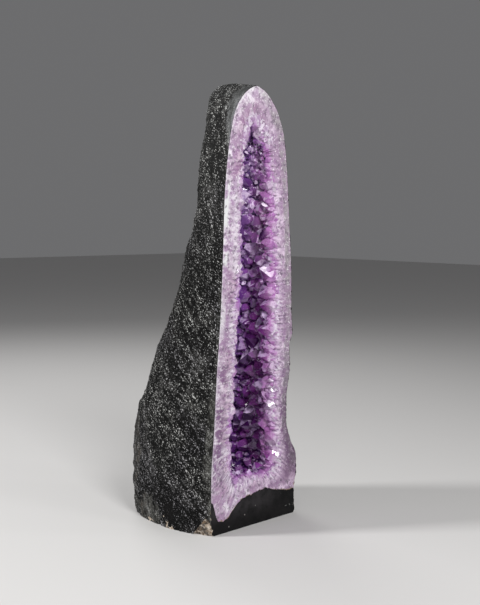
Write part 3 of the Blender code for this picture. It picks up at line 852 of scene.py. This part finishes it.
wall_grid = np.zeros((WALL_ROWS, rays, 3))
for s in range(rays):
    half, deep = stone_size(origins[s][1])
    depth = deep - ROCK_WALL - CRUST_BACK
    level_half = (curve_value(HOLLOW_RIGHT, origins[s][1]) - curve_value(HOLLOW_LEFT, origins[s][1])) / 2
    room = max(level_half * 1.12, half - CRUST_SIDE - ROCK_WALL) - level_half * 1.12
    edge = rim_grid[-1, s]
    start = float(np.hypot(edge[0] - origins[s][0], edge[2] - origins[s][1]))
    widest = max(start * 1.04, inner_reach[s] * 1.12 + room * directions[s][0] ** 2)
    centre = 0.42 * depth
    angle_in = math.asin(min(0.98, start / widest))
    front = (centre - edge[1]) / math.cos(angle_in)
    for r in range(WALL_ROWS):
        angle = angle_in + (math.pi - angle_in) * ((r + 1) / WALL_ROWS)
        reach = widest * math.sin(angle)
        back = centre - (front if math.cos(angle) > 0 else depth - centre) * math.cos(angle)
        x, z = origins[s] + directions[s] * reach
        lump = noise.noise(Vector((x, back, z)) * 55.0) * 1.8 * MM if r < WALL_ROWS - 1 else 0.0
        wall_grid[r, s] = (x + directions[s][0] * lump, back, z + directions[s][1] * lump)
print("Hollow reaches back to", round(wall_grid[:, :, 1].max(), 3), "m behind the sawn face")

# %% Back of the crust, hidden in its bed
skin_tree = BVHTree.FromPolygons([tuple(point) for point in rock_rings.reshape(-1, 3)],
                                 ring_faces(*rock_rings.shape[:2]))
BACK_SOURCES = (4, 9, 14, 18, WALL_ROWS - 1)
BACK_ROWS = len(BACK_SOURCES) + 1
UV_DEPTH = 0.045
back_grid = np.zeros((BACK_ROWS, rays, 3))
for s in range(rays):
    heading = Vector((directions[s][0], 0.0, directions[s][1]))
    spine = Vector((origins[s][0], 0.0, origins[s][1]))
    back_grid[0, s] = spine + heading * (outer_reach[s] - 2.5 * MM) + Vector((0, 12 * MM, 0))
    anchor = Vector((spine.x, 0.42 * wall_grid[-1, s][1], spine.z))
    for r, source in enumerate(BACK_SOURCES):
        point = Vector(wall_grid[source, s])
        aim = (point - anchor).normalized()
        hit, _, _, far = skin_tree.ray_cast(point, aim)
        thick = min(max((far if hit else 0.02) - 11 * MM, 2 * MM), 38 * MM)
        back_grid[r + 1, s] = point + aim * thick
print("Back of the crust reaches", round(back_grid[:, :, 1].max(), 3), "m")

# %% Join the crust's body
crust_rings = np.concatenate([back_grid[::-1], rim_grid, wall_grid])
crust_mesh = solid("quartz_crust", crust_rings)
on_rim = slice(BACK_ROWS, BACK_ROWS + RIM_ROWS)
growth, grooves = np.zeros((2, *crust_rings.shape[:2]))
shades = np.full(growth.shape, 0.5)
growth[on_rim], grooves[on_rim], shades[on_rim] = share_rows[:, None], groove, shade
growth[on_rim.stop:] = 1.0 + np.arange(1, WALL_ROWS + 1)[:, None] / WALL_ROWS
for name, values in (("growth", growth), ("groove", grooves), ("shade", shades)):
    store(crust_mesh, name, values)
corner_uv = np.zeros((len(crust_mesh.loops), 2))
for polygon in crust_mesh.polygons:
    row, column = divmod(polygon.index, rays)
    for loop, (dr, dc) in zip(polygon.loop_indices, ((0, 0), (0, 1), (1, 1), (1, 0))):
        corner_uv[loop] = (walked[column + dc], growth[row + dr, (column + dc) % rays] * UV_DEPTH)
crust_mesh.uv_layers.new(name="flow").data.foreach_set("uv", corner_uv.reshape(-1))
tidy_mesh(crust_mesh)
print("Crust body:", len(crust_mesh.polygons), "faces")

# %% [markdown]
# ## One crystal, cut like a gem
# A quartz point is a six-sided prism closed by six slanting faces. No two are alike, because
# each face grew at its own pace. A cone with six sides would look machined, so each variant
# starts as a tall prism and loses six slices, one for each slanting face, at uneven heights.

# %% Eight crystal points
POINT_KINDS = 8
SLOPE = math.radians(51.8)


def slice_off(bm, normal, distance):
    """Cuts away what lies beyond a plane and closes the cut with one flat face."""
    plane = bmesh.ops.bisect_plane(bm, geom=bm.verts[:] + bm.edges[:] + bm.faces[:], plane_co=normal * distance,
                                   plane_no=normal, clear_outer=True)
    rim = [item for item in plane["geom_cut"] if isinstance(item, bmesh.types.BMEdge)]
    if rim:
        bmesh.ops.contextual_create(bm, geom=rim)


def crystal_point(number):
    """A unit crystal along +Z, one unit from its axis to its sides, standing on z = -1.2."""
    rng = random.Random(100 + number)
    bm = bmesh.new()
    bmesh.ops.create_cone(bm, cap_ends=True, segments=6, radius1=1.4, radius2=1.4, depth=8.0)
    for side in range(6):
        turn = math.pi / 3 * side + rng.uniform(-0.06, 0.06)
        slice_off(bm, Vector((math.cos(turn), math.sin(turn), 0.0)), rng.uniform(0.82, 1.12))
    slice_off(bm, Vector((0, 0, -1)), 1.2)
    for side in range(6):
        turn = math.pi / 3 * side
        normal = Vector((math.cos(turn) * math.sin(SLOPE), math.sin(turn) * math.sin(SLOPE), math.cos(SLOPE)))
        height = rng.uniform(1.30, 1.75) if side % 2 == 0 else rng.uniform(1.55, 2.15)
        slice_off(bm, normal, height * math.cos(SLOPE))
    bmesh.ops.recalc_face_normals(bm, faces=bm.faces)
    sides = bm.faces.layers.float.new("side")
    for count, face in enumerate(bm.faces):
        face[sides] = count
    bmesh.ops.triangulate(bm, faces=bm.faces)
    mesh = bpy.data.meshes.new("point_%d" % number)
    bm.to_mesh(mesh)
    bm.free()
    heights = read(mesh.vertices, "co", 3)[:, 2]
    store(mesh, "rise", np.clip((heights + 0.2) / (heights.max() + 0.2), 0.0, 1.0))
    return mesh


kinds = bpy.data.collections.new("crystal_kinds")
bpy.context.scene.collection.children.link(kinds)
for number in range(POINT_KINDS):
    kinds.objects.link(bpy.data.objects.new("point_%d" % number, crystal_point(number)))


# %% [markdown]
# ## Growing the crystals on the wall
# Hundreds of crystals stand on the wall, each square to it give or take some degrees, and
# crowded until they touch. Placing them in a loop would work, but Geometry Nodes spreads points
# over any surface with a least distance between them, and the same small tree can be run again
# for large, common and small crystals with other numbers. It ends by making real geometry,
# because instances don't survive an export.

# %% The crystal tree
def crystal_tree(name, spread_points):
    """Crystals on points spread over a wall, or on given points that carry an aim and a width."""
    tree = bpy.data.node_groups.new(name, "GeometryNodeTree")
    tree.is_modifier = True
    sizes = [(name, "Float") for name in ("Spacing", "Least Size", "Greatest Size", "Stretch", "Tilt", "Sink")]
    for name, kind in [("Wall", "Geometry"), ("Kinds", "Collection"), ("Finish", "Material"), *sizes, ("Seed", "Int")]:
        tree.interface.new_socket(name, in_out="INPUT", socket_type="NodeSocket" + kind)
    tree.interface.new_socket("Crystals", in_out="OUTPUT", socket_type="NodeSocketGeometry")
    g = Nodes(tree)
    given = g.node("NodeGroupInput").outputs

    def stored(name, kind="FLOAT"):
        return enabled(g.node("GeometryNodeInputNamedAttribute", {"Name": name}, data_type=kind).outputs, "Attribute")

    def vector(x, y, z):
        return g.node("ShaderNodeCombineXYZ", {0: x, 1: y, 2: z}).outputs[0]

    def random_value(low, high, offset, kind="FLOAT"):
        inputs = {"Min": low, "Max": high, "Seed": g.math("ADD", given["Seed"], offset)}
        return enabled(g.node("FunctionNodeRandomValue", inputs, data_type=kind).outputs, "Value")

    if spread_points:
        spread = g.node("GeometryNodeDistributePointsOnFaces",
                        {"Mesh": given["Wall"], "Distance Min": given["Spacing"], "Seed": given["Seed"],
                         "Density Max": 60000.0}, distribute_method="POISSON").outputs
        points, upright = spread["Points"], spread["Rotation"]
    else:
        points = given["Wall"]
        upright = g.node("FunctionNodeAlignRotationToVector", {"Vector": stored("aim", "FLOAT_VECTOR")},
                         axis="Z").outputs[0]
    lean_x, lean_y = (g.times(given["Tilt"], random_value(-1.0, 1.0, offset)) for offset in (1, 2))
    lean = g.node("FunctionNodeEulerToRotation", {0: vector(lean_x, lean_y, random_value(0.0, 2 * math.pi, 3))})
    lean = g.node("FunctionNodeRotateRotation", {0: upright, 1: lean.outputs[0]}, rotation_space="LOCAL").outputs[0]
    size = g.times(random_value(given["Least Size"], given["Greatest Size"], 4), stored("width"))
    slim = g.times(size, random_value(0.8, 1.0, 5))
    tall = g.times(size, g.times(given["Stretch"], random_value(0.85, 1.25, 6)))
    parts = g.node("GeometryNodeCollectionInfo", {"Collection": given["Kinds"], "Separate Children": True,
                                                  "Reset Children": True}).outputs[0]
    shown = g.node("GeometryNodeInstanceOnPoints",
                   {"Points": points, "Instance": parts, "Pick Instance": True, "Rotation": lean,
                    "Instance Index": random_value(0, POINT_KINDS - 1, 7, "INT"),
                    "Scale": vector(slim, size, tall)}).outputs[0]
    down = vector(0.0, 0.0, g.times(size, g.times(given["Sink"], -1.0)))
    shown = g.node("GeometryNodeTranslateInstances",
                   {"Instances": shown, "Translation": down, "Local Space": True}).outputs[0]
    shown = g.node("GeometryNodeStoreNamedAttribute",
                   {"Geometry": shown, "Name": "chance", "Value": random_value(0.0, 1.0, 8)},
                   data_type="FLOAT", domain="INSTANCE").outputs[0]
    shown = g.node("GeometryNodeRealizeInstances", {0: shown}).outputs[0]
    shown = g.node("GeometryNodeSetMaterial", {"Geometry": shown, "Material": given["Finish"]}).outputs[0]
    g.node("NodeGroupOutput", {0: shown})
    return tree


# %% [markdown]
# ## Amethyst and milky quartz
# The colour of amethyst sits in the last few millimetres of growth, so the columns in the rim
# are white to lilac and the points are violet. The crystals let part of the light through, with
# quartz's own index of refraction. The rest of the light comes back from haze inside them.

# %% Crystal material
QUARTZ_INDEX = 1.544
CREVICE_LEAN = 0.31
CREVICE_AT = 84.0 * MM


def amethyst_points():
    m = Sheet("amethyst_points")
    rise, chance, facet = m.value("rise"), m.value("chance"), m.value("facet")
    veil, spots = m.noise(120.0, 3.0, 0.6), m.noise(330.0, 3.0, 0.65)
    reach = m.sway(m.value("reach"), m.noise(36.0, 3.0, 0.6), 56 * MM)
    reach = m.sway(reach, m.noise(15.0, 1.0), 60 * MM, 0.55)
    inside_by = m.times(m.math("SUBTRACT", m.y, FACE_MIDDLE.y), 0.5)
    pink = m.zone(m.math("SUBTRACT", m.x, inside_by), -20, 34)
    pink = m.math("MAXIMUM", pink, m.zone(m.z, 120, 90, 0.0, 0.7))
    upper = m.zone(m.z, 380, 560, 0.0, 0.7)
    inside = m.zone(reach, 8, 26)
    pale = m.mix(m.step(veil, 0.42, 0.60), (0.44, 0.29, 0.47), (0.76, 0.69, 0.78))
    warm = m.mix(m.step(chance, 0.15, 0.85), (0.70, 0.52, 0.72), (0.38, 0.16, 0.42))
    mid = m.mix(pink, (0.40, 0.17, 0.57), (0.56, 0.22, 0.57))
    deep = m.mix(pink, (0.28, 0.09, 0.55), (0.43, 0.08, 0.46))
    deep = m.mix(upper, deep, m.mix(pink, (0.55, 0.29, 0.70), (0.74, 0.32, 0.66)))
    haze = m.mix(upper, (0.82, 0.62, 0.92), (0.90, 0.77, 0.93))
    hazy = m.times(m.step(facet, 0.40, 0.80), m.step(veil, 0.36, 0.60, 0.25, 1.0), m.zone(reach, 4, 30, 0.15, 1.0))
    shadow = m.times(m.step(pink, 0.5, 0.0), m.step(chance, 0.30, 0.60), m.times(inside, 0.6))
    color = m.coats(
        pale, (m.zone(reach, -10, 3), warm), (m.zone(reach, 2, 15), mid), (m.zone(reach, 14, 34), deep),
        (m.step(spots, 0.42, 0.30, 0.0, 0.7), (0.09, 0.02, 0.14)),
        (m.step(spots, 0.56, 0.70, 0.0, 0.7), (0.78, 0.62, 0.82)),
        # Painted shade deep in the hollow: many whole crystals, and the lower halves of all of them, go near-black.
        (m.times(m.step(chance, 0.48, 0.92), inside, 0.88), (0.05, 0.004, 0.09)),
        (m.times(m.step(rise, 0.45, 0.0), inside), (0.04, 0.005, 0.09)),
        (shadow, (0.13, 0.02, 0.22)), (m.times(hazy, 0.9), haze))
    clear = m.times(m.step(rise, 0.1, 0.8, 0.1, 0.45), m.zone(reach, 0, 24, 0.4, 1.0), m.math("SUBTRACT", 1.0, hazy))
    return m.finish(color, m.step(facet, 0.3, 1.0, 0.10, 0.32), m.bump(m.noise(260.0), 0.12 * MM, 0.35),
                    **{"Transmission Weight": clear, "IOR": QUARTZ_INDEX})


def sawn_quartz():
    m = Sheet("sawn_quartz")
    growth, groove, shade, inner = (m.value(name) for name in ("growth", "groove", "shade", "reach"))
    flow = m.node("ShaderNodeUVMap", uv_map="flow").outputs[0]
    streak = m.noise(1.0, 2.0, 0.6, (95.0, 30.0, 1.0), flow)
    fine = m.noise(1.0, 3.0, 0.6, (200.0, 85.0, 1.0), flow)
    mottle, patch = m.noise(125.0, 5.0, 0.72), m.noise(62.0, 3.0, 0.6)
    region, broad = m.noise(26.0), m.noise(17.0)
    right = m.zone(m.x, -30, 35)
    left = m.math("SUBTRACT", 1.0, right)
    white = m.mix(right, (0.88, 0.80, 0.89), (0.78, 0.62, 0.78))
    lilac = m.mix(right, (0.43, 0.28, 0.45), (0.34, 0.21, 0.35))
    tone = m.mix(right, (0.52, 0.43, 0.54), (0.54, 0.46, 0.55))
    greyer = m.mix(m.zone(m.z, 420, 260), (0.36, 0.31, 0.35), (0.25, 0.205, 0.25))
    duller = m.times(m.step(region, 0.42, 0.56), m.step(right, 0.0, 1.0, 0.65, 0.9))
    ribs = m.times(m.step(streak, 0.47, 0.58), m.step(growth, 0.30, 0.85, 0.05, 0.95),
                   m.step(patch, 0.38, 0.56, 0.1, 1.0))
    stem = m.times(m.zone(m.sway(inner, patch, 30 * MM), -40, -16), m.zone(m.z, 690, 708), 0.85)
    low = m.times(m.zone(m.z, 380, 180), m.zone(m.z, 72, 100))
    # The lower rim is darker: partly the quartz's own tone, partly painted shade for light that falls off towards the
    # bottom.
    low_tone_and_falloff = m.times(low, m.step(region, 0.35, 0.6, 0.6, 1.0), m.step(patch, 0.43, 0.57, 0.3, 1.15))
    tips = m.times(m.step(growth, 0.40, 0.72), m.zone(m.z, 640, 560), m.step(fine, 0.30, 0.52, 0.1, 0.62))
    outer = m.times(m.step(m.math("SUBTRACT", growth, m.times(right, 0.30)), 0.13, 0.0), m.zone(m.z, 60, 110),
                    m.step(patch, 0.38, 0.58, 1.0, 0.3))
    warm = m.times(left, m.step(growth, 0.05, 0.80), m.step(broad, 0.47, 0.60))
    vein = m.times(m.step(growth, 0.36, 0.16), m.step(broad, 0.53, 0.44), left, m.zone(m.z, 300, 420),
                   m.zone(m.z, 650, 610))
    glint = m.times(m.step(m.noise(300.0), 0.59, 0.70, 0.0, 0.7), m.zone(m.z, 120, 330, 0.4, 1.0))
    bulge = m.times(m.zone(m.x, 56, 80), m.zone(m.z, 260, 180), m.zone(m.z, 52, 72))
    edge = m.times(m.zone(m.sway(inner, patch, 34 * MM), -8, 4), m.zone(m.x, -20, 40, 0.45, 0.9),
                   m.zone(m.z, 88, 125, 0.3, 1.0))
    lean = m.math("SUBTRACT", m.x, m.times(m.z, CREVICE_LEAN))
    off = m.math("ABSOLUTE", m.math("ADD", m.sway(lean, patch, 9 * MM), CREVICE_AT - FACE_MIDDLE.x))
    # Painted shade: a dark plum line down a crevice that the mesh doesn't cut.
    crevice_shade = m.times(m.zone(off, 6.0, 2.5), m.zone(m.z, 70, 84), m.zone(m.z, 150, 130, 0.0, 0.9))
    dirt = m.times(m.zone(m.z, 66, 50), m.step(growth, 0.055, 0.015), m.zone(m.x, -98, -88),
                   m.step(mottle, 0.58, 0.46))
    color = m.coats(
        m.mix(m.step(patch, 0.40, 0.56), white, lilac), (duller, (0.40, 0.26, 0.40)), (ribs, (0.31, 0.15, 0.34)),
        (m.step(fine, 0.53, 0.66, 0.0, 0.6), white), (stem, (0.31, 0.16, 0.31)), (low_tone_and_falloff, tone, "MULTIPLY"),
        (m.times(low, m.step(fine, 0.52, 0.62, 0.0, 0.6)), (0.88, 0.83, 0.89)),
        (m.times(low, m.step(fine, 0.47, 0.38, 0.0, 0.6)), (0.22, 0.11, 0.25)),
        (m.zone(m.z, 640, 720, 0.0, 0.18), (0.82, 0.76, 0.81)), (tips, white),
        (outer, m.mix(right, (0.80, 0.77, 0.81), greyer)), (warm, (0.86, 0.70, 0.80), "MULTIPLY"),
        (vein, (0.80, 0.80, 0.81)), (m.step(mottle, 0.49, 0.38, 0.0, 0.8), (0.16, 0.11, 0.17)),
        (glint, (0.93, 0.91, 0.93)), (bulge, (0.62, 0.55, 0.62), "MULTIPLY"),
        (m.times(m.step(shade, 0.6, 1.0, 0.0, 0.4), m.step(growth, 0.40, 0.85)), white),
        # Dark plum in the grooves: partly the joints' own colour, partly painted shade in the creases.
        (edge, (0.42, 0.15, 0.44)), (m.times(groove, m.step(growth, 0.2, 0.8, 0.25, 1.0)), (0.09, 0.03, 0.13)),
        # Painted shade: the crevice's dark line, and the wall behind the rim darkened to plum, violet quartz in the
        # crystals' shade.
        (crevice_shade, (0.13, 0.03, 0.17)), (m.step(growth, 1.0, 1.12), (0.08, 0.02, 0.16)), (dirt, (0.26, 0.18, 0.11)))
    normal = m.bump(streak, 1.2 * MM, 0.6, m.bump(mottle, 1.4 * MM, 0.7))
    return m.finish(color, m.step(mottle, 0.3, 0.7, 0.50, 0.26), normal, IOR=QUARTZ_INDEX)


POINTS, QUARTZ = amethyst_points(), sawn_quartz()
crust = show(crust_mesh, QUARTZ)

# %% Where crystals may stand
wall_rows = np.concatenate([rim_grid[-1:], wall_grid])[:, ::3]
room = np.clip(inner_reach / (42 * MM), 0.45, 1.0)


def wall_bed(least_depth):
    """The wall's part that lies deeper than a given depth, with the room that crystals have there."""
    points = wall_rows.reshape(-1, 3)
    faces = [face[::-1] for face in ring_faces(*wall_rows.shape[:2])
             if points[list(face), 1].mean() > least_depth]
    mesh = bpy.data.meshes.new("crystal_bed")
    mesh.from_pydata([tuple(point) for point in points], [], faces)
    z = points[:, 2]
    end_room = 0.62 + 0.38 * (smooth(80 * MM, 140 * MM, z) * smooth(710 * MM, 660 * MM, z))
    store(mesh, "width", np.tile(room[::3], wall_rows.shape[0]) * end_room)
    return mesh


COURSES = ((15.0, 0.35), (10.0, 0.5), (6.0, 0.8), (2.0, 1.1), (-1.0, 1.7), (-1.0, 2.8))


def tooth_points(name, seed):
    """Points in rows round the hollow's edge, each with the way it grew and how wide it is."""
    rng = random.Random(seed)
    places, aims, widths = [], [], []
    for course, (back_by, lower) in enumerate(COURSES):
        for left, right in zip(ends, ends[1:]):
            skipped = rng.random()
            width = (right - left) * rng.uniform(0.6, 1.15) * (1.5 if rng.random() < 0.18 else 1.0)
            middle = ((left + right) / 2 + (0.5 * (course % 2) + rng.uniform(-0.35, 0.35)) * width) % walked[-1]
            s = int(np.searchsorted(walked, middle)) % rays
            width *= room[s]
            reach = inner_reach[s] + (back_by + rng.uniform(-3.0, 3.0)) * MM
            x, z = origins[s] + directions[s] * reach
            if skipped < (0.8 if directions[s][0] < -0.5 and course < 3 else 0.15):
                continue
            if z < 115 * MM and abs(x - CREVICE_LEAN * z + CREVICE_AT) < 5 * MM:
                continue
            places.append((x, lower * lip_depth[s] * MM + width * rng.uniform(0.15, 0.5), z))
            aims.append((-directions[s][0], rng.uniform(-0.4, 0.45), -directions[s][1]))
            widths.append(width)
    mesh = bpy.data.meshes.new(name)
    mesh.from_pydata(places, [], [])
    store(mesh, "aim", aims, "FLOAT_VECTOR")
    store(mesh, "width", widths)
    return mesh


def mark_reach(mesh):
    """Stores how far each point is towards the hollow's inside: inwards from its edge, and back."""
    x, y, z = read(mesh.vertices, "co", 3).T
    left, right = (np.interp(z, hollow_z, [curve_value(edge, height) for height in hollow_z])
                   for edge in (HOLLOW_LEFT, HOLLOW_RIGHT))
    from_ends = np.minimum(z - hollow_z[0], hollow_z[-1] - z)
    store(mesh, "reach", np.minimum(np.minimum(x - left, right - x), from_ends) + 0.9 * y)


# %% Grow the crystals
def grow(name, bed_mesh, spread_points, seed, **given):
    """Runs a crystal tree on a bed and keeps the result as a plain mesh."""
    tree = crystal_tree(name, spread_points)
    bed_object = show(bed_mesh)
    step = bed_object.modifiers.new("Grow", "NODES")
    step.node_group = tree
    keys = {item.name: item.identifier for item in tree.interface.items_tree if item.in_out == "INPUT"}
    step[keys["Kinds"]] = kinds
    step[keys["Finish"]] = POINTS
    step[keys["Seed"]] = seed
    for key, value in given.items():
        step[keys[key.replace("_", " ").title()]] = value
    mesh = evaluated(bed_object)
    mesh.name = name
    bpy.data.objects.remove(bed_object)
    bpy.data.meshes.remove(bed_mesh)
    places, chance = read(mesh.vertices, "co", 3), read(mesh.attributes["chance"].data, "value")
    sawn_at = (0.1 + 0.9 * ((chance * 37.0) % 1.0)) * MM
    places[:, 1] = np.maximum(places[:, 1], sawn_at)
    mesh.vertices.foreach_set("co", places.reshape(-1))
    side = read(mesh.attributes["side"].data, "value")
    firsts = read(mesh.polygons, "loop_start", kind=np.int32)
    own = chance[read(mesh.loops, "vertex_index", kind=np.int32)[firsts]]
    store(mesh, "facet", (np.sin(own * 127.1 + side * 311.7) * 43758.5453) % 1.0, domain="FACE")
    mark_reach(mesh)
    print(name, len(mesh.polygons), "triangles")
    return show(mesh)


large = grow("amethyst_large", wall_bed(17 * MM), True, 3, spacing=22 * MM, least_size=9.5 * MM,
             greatest_size=14.5 * MM, stretch=1.0, tilt=math.radians(22), sink=0.85)
common = grow("amethyst_common", wall_bed(9 * MM), True, 5, spacing=10 * MM, least_size=4.6 * MM,
              greatest_size=7.8 * MM, stretch=1.0, tilt=math.radians(26), sink=0.5)
small = grow("amethyst_small", wall_bed(5 * MM), True, 9, spacing=6.5 * MM, least_size=2.2 * MM,
             greatest_size=4.0 * MM, stretch=1.1, tilt=math.radians(28), sink=0.2)
teeth = grow("rim_teeth", tooth_points("teeth", 21), False, 12, least_size=0.4,
             greatest_size=0.8, stretch=0.8, tilt=math.radians(30), sink=0.0)
for kind in list(kinds.objects):
    bpy.data.objects.remove(kind)
bpy.data.collections.remove(kinds)

# %% Shading and place
for obj in (rock, crust):
    for polygon in obj.data.polygons:
        polygon.use_smooth = True
    obj.data.set_sharp_from_angle(angle=math.radians(55))
crystals = (large, common, small, teeth)
mark_reach(crust.data)
for obj in (rock, crust, *crystals):
    for vert in obj.data.vertices:
        vert.co += FACE_MIDDLE
    obj.data.update()

# %% [markdown]
# ## Floor, light and camera
# A plain pale floor and large soft lights: one near the camera's side that reaches both the
# rock and the sawn face, one from the right for the sparkle on the points, and one from behind.

# %% Floor
floor_mesh = bpy.data.meshes.new("floor")
floor_mesh.from_pydata([(-9, -9, 0), (9, -9, 0), (9, 9, 0), (-9, 9, 0)], [], [(0, 1, 2, 3)])
floor_material = bpy.data.materials.new("pale_floor")
floor_material.use_nodes = True
floor_shader = floor_material.node_tree.nodes["Principled BSDF"].inputs
floor_shader["Base Color"].default_value = (0.62, 0.61, 0.60, 1.0)
floor_shader["Roughness"].default_value = 0.7
floor = show(floor_mesh, floor_material)


# %% Lights
def softbox(name, place, target, size, power):
    """A square area light that looks at a point."""
    light = bpy.data.lights.new(name, "AREA")
    light.size = size
    light.energy = power
    lamp = bpy.data.objects.new(name, light)
    lamp.location = place
    lamp.rotation_euler = (Vector(target) - Vector(place)).to_track_quat("-Z", "Y").to_euler()
    bpy.context.scene.collection.objects.link(lamp)


softbox("key", (-0.8, -1.7, 1.75), (0, -0.1, 0.38), 0.6, 31.0)
SPARKLES = ((1.3, -1.8, 1.2), (0.2, -2.3, 0.5), (-1.9, -1.3, 0.8), (0.4, -1.7, 2.3))
for number, place in enumerate(SPARKLES):
    softbox("sparkle_" + str(number), place, (0, -0.1, 0.38), 0.22, 4.0)
softbox("grazing", (-1.7, 1.1, 1.9), (0, 0.0, 0.38), 0.35, 44.0)
softbox("back", (0.9, 1.8, 1.9), (0, 0.0, 0.4), 1.0, 16.0)
world = bpy.data.worlds.new("soft_room")
world.use_nodes = True
world.node_tree.nodes["Background"].inputs["Color"].default_value = (0.42, 0.42, 0.43, 1.0)
world.node_tree.nodes["Background"].inputs["Strength"].default_value = 0.36
bpy.context.scene.view_settings.view_transform = "Standard"
bpy.context.scene.world = world

# %% Camera
camera_data = bpy.data.cameras.new("camera")
camera_data.lens = 62.42
camera_data.sensor_width = 36.0
camera = bpy.data.objects.new("camera", camera_data)
camera.location = (-1.3325, -1.3523, 0.5425)
camera.rotation_euler = Euler([math.radians(angle) for angle in (85.16, -0.608, -46.489)])
bpy.context.scene.collection.objects.link(camera)
bpy.context.scene.camera = camera

# %% Ride, replace and finish
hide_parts("basalt_shell")
for piece in (crust, *crystals):
    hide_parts("amethyst_crust")
for piece in (rock, crust, *crystals):
    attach(piece, "root")
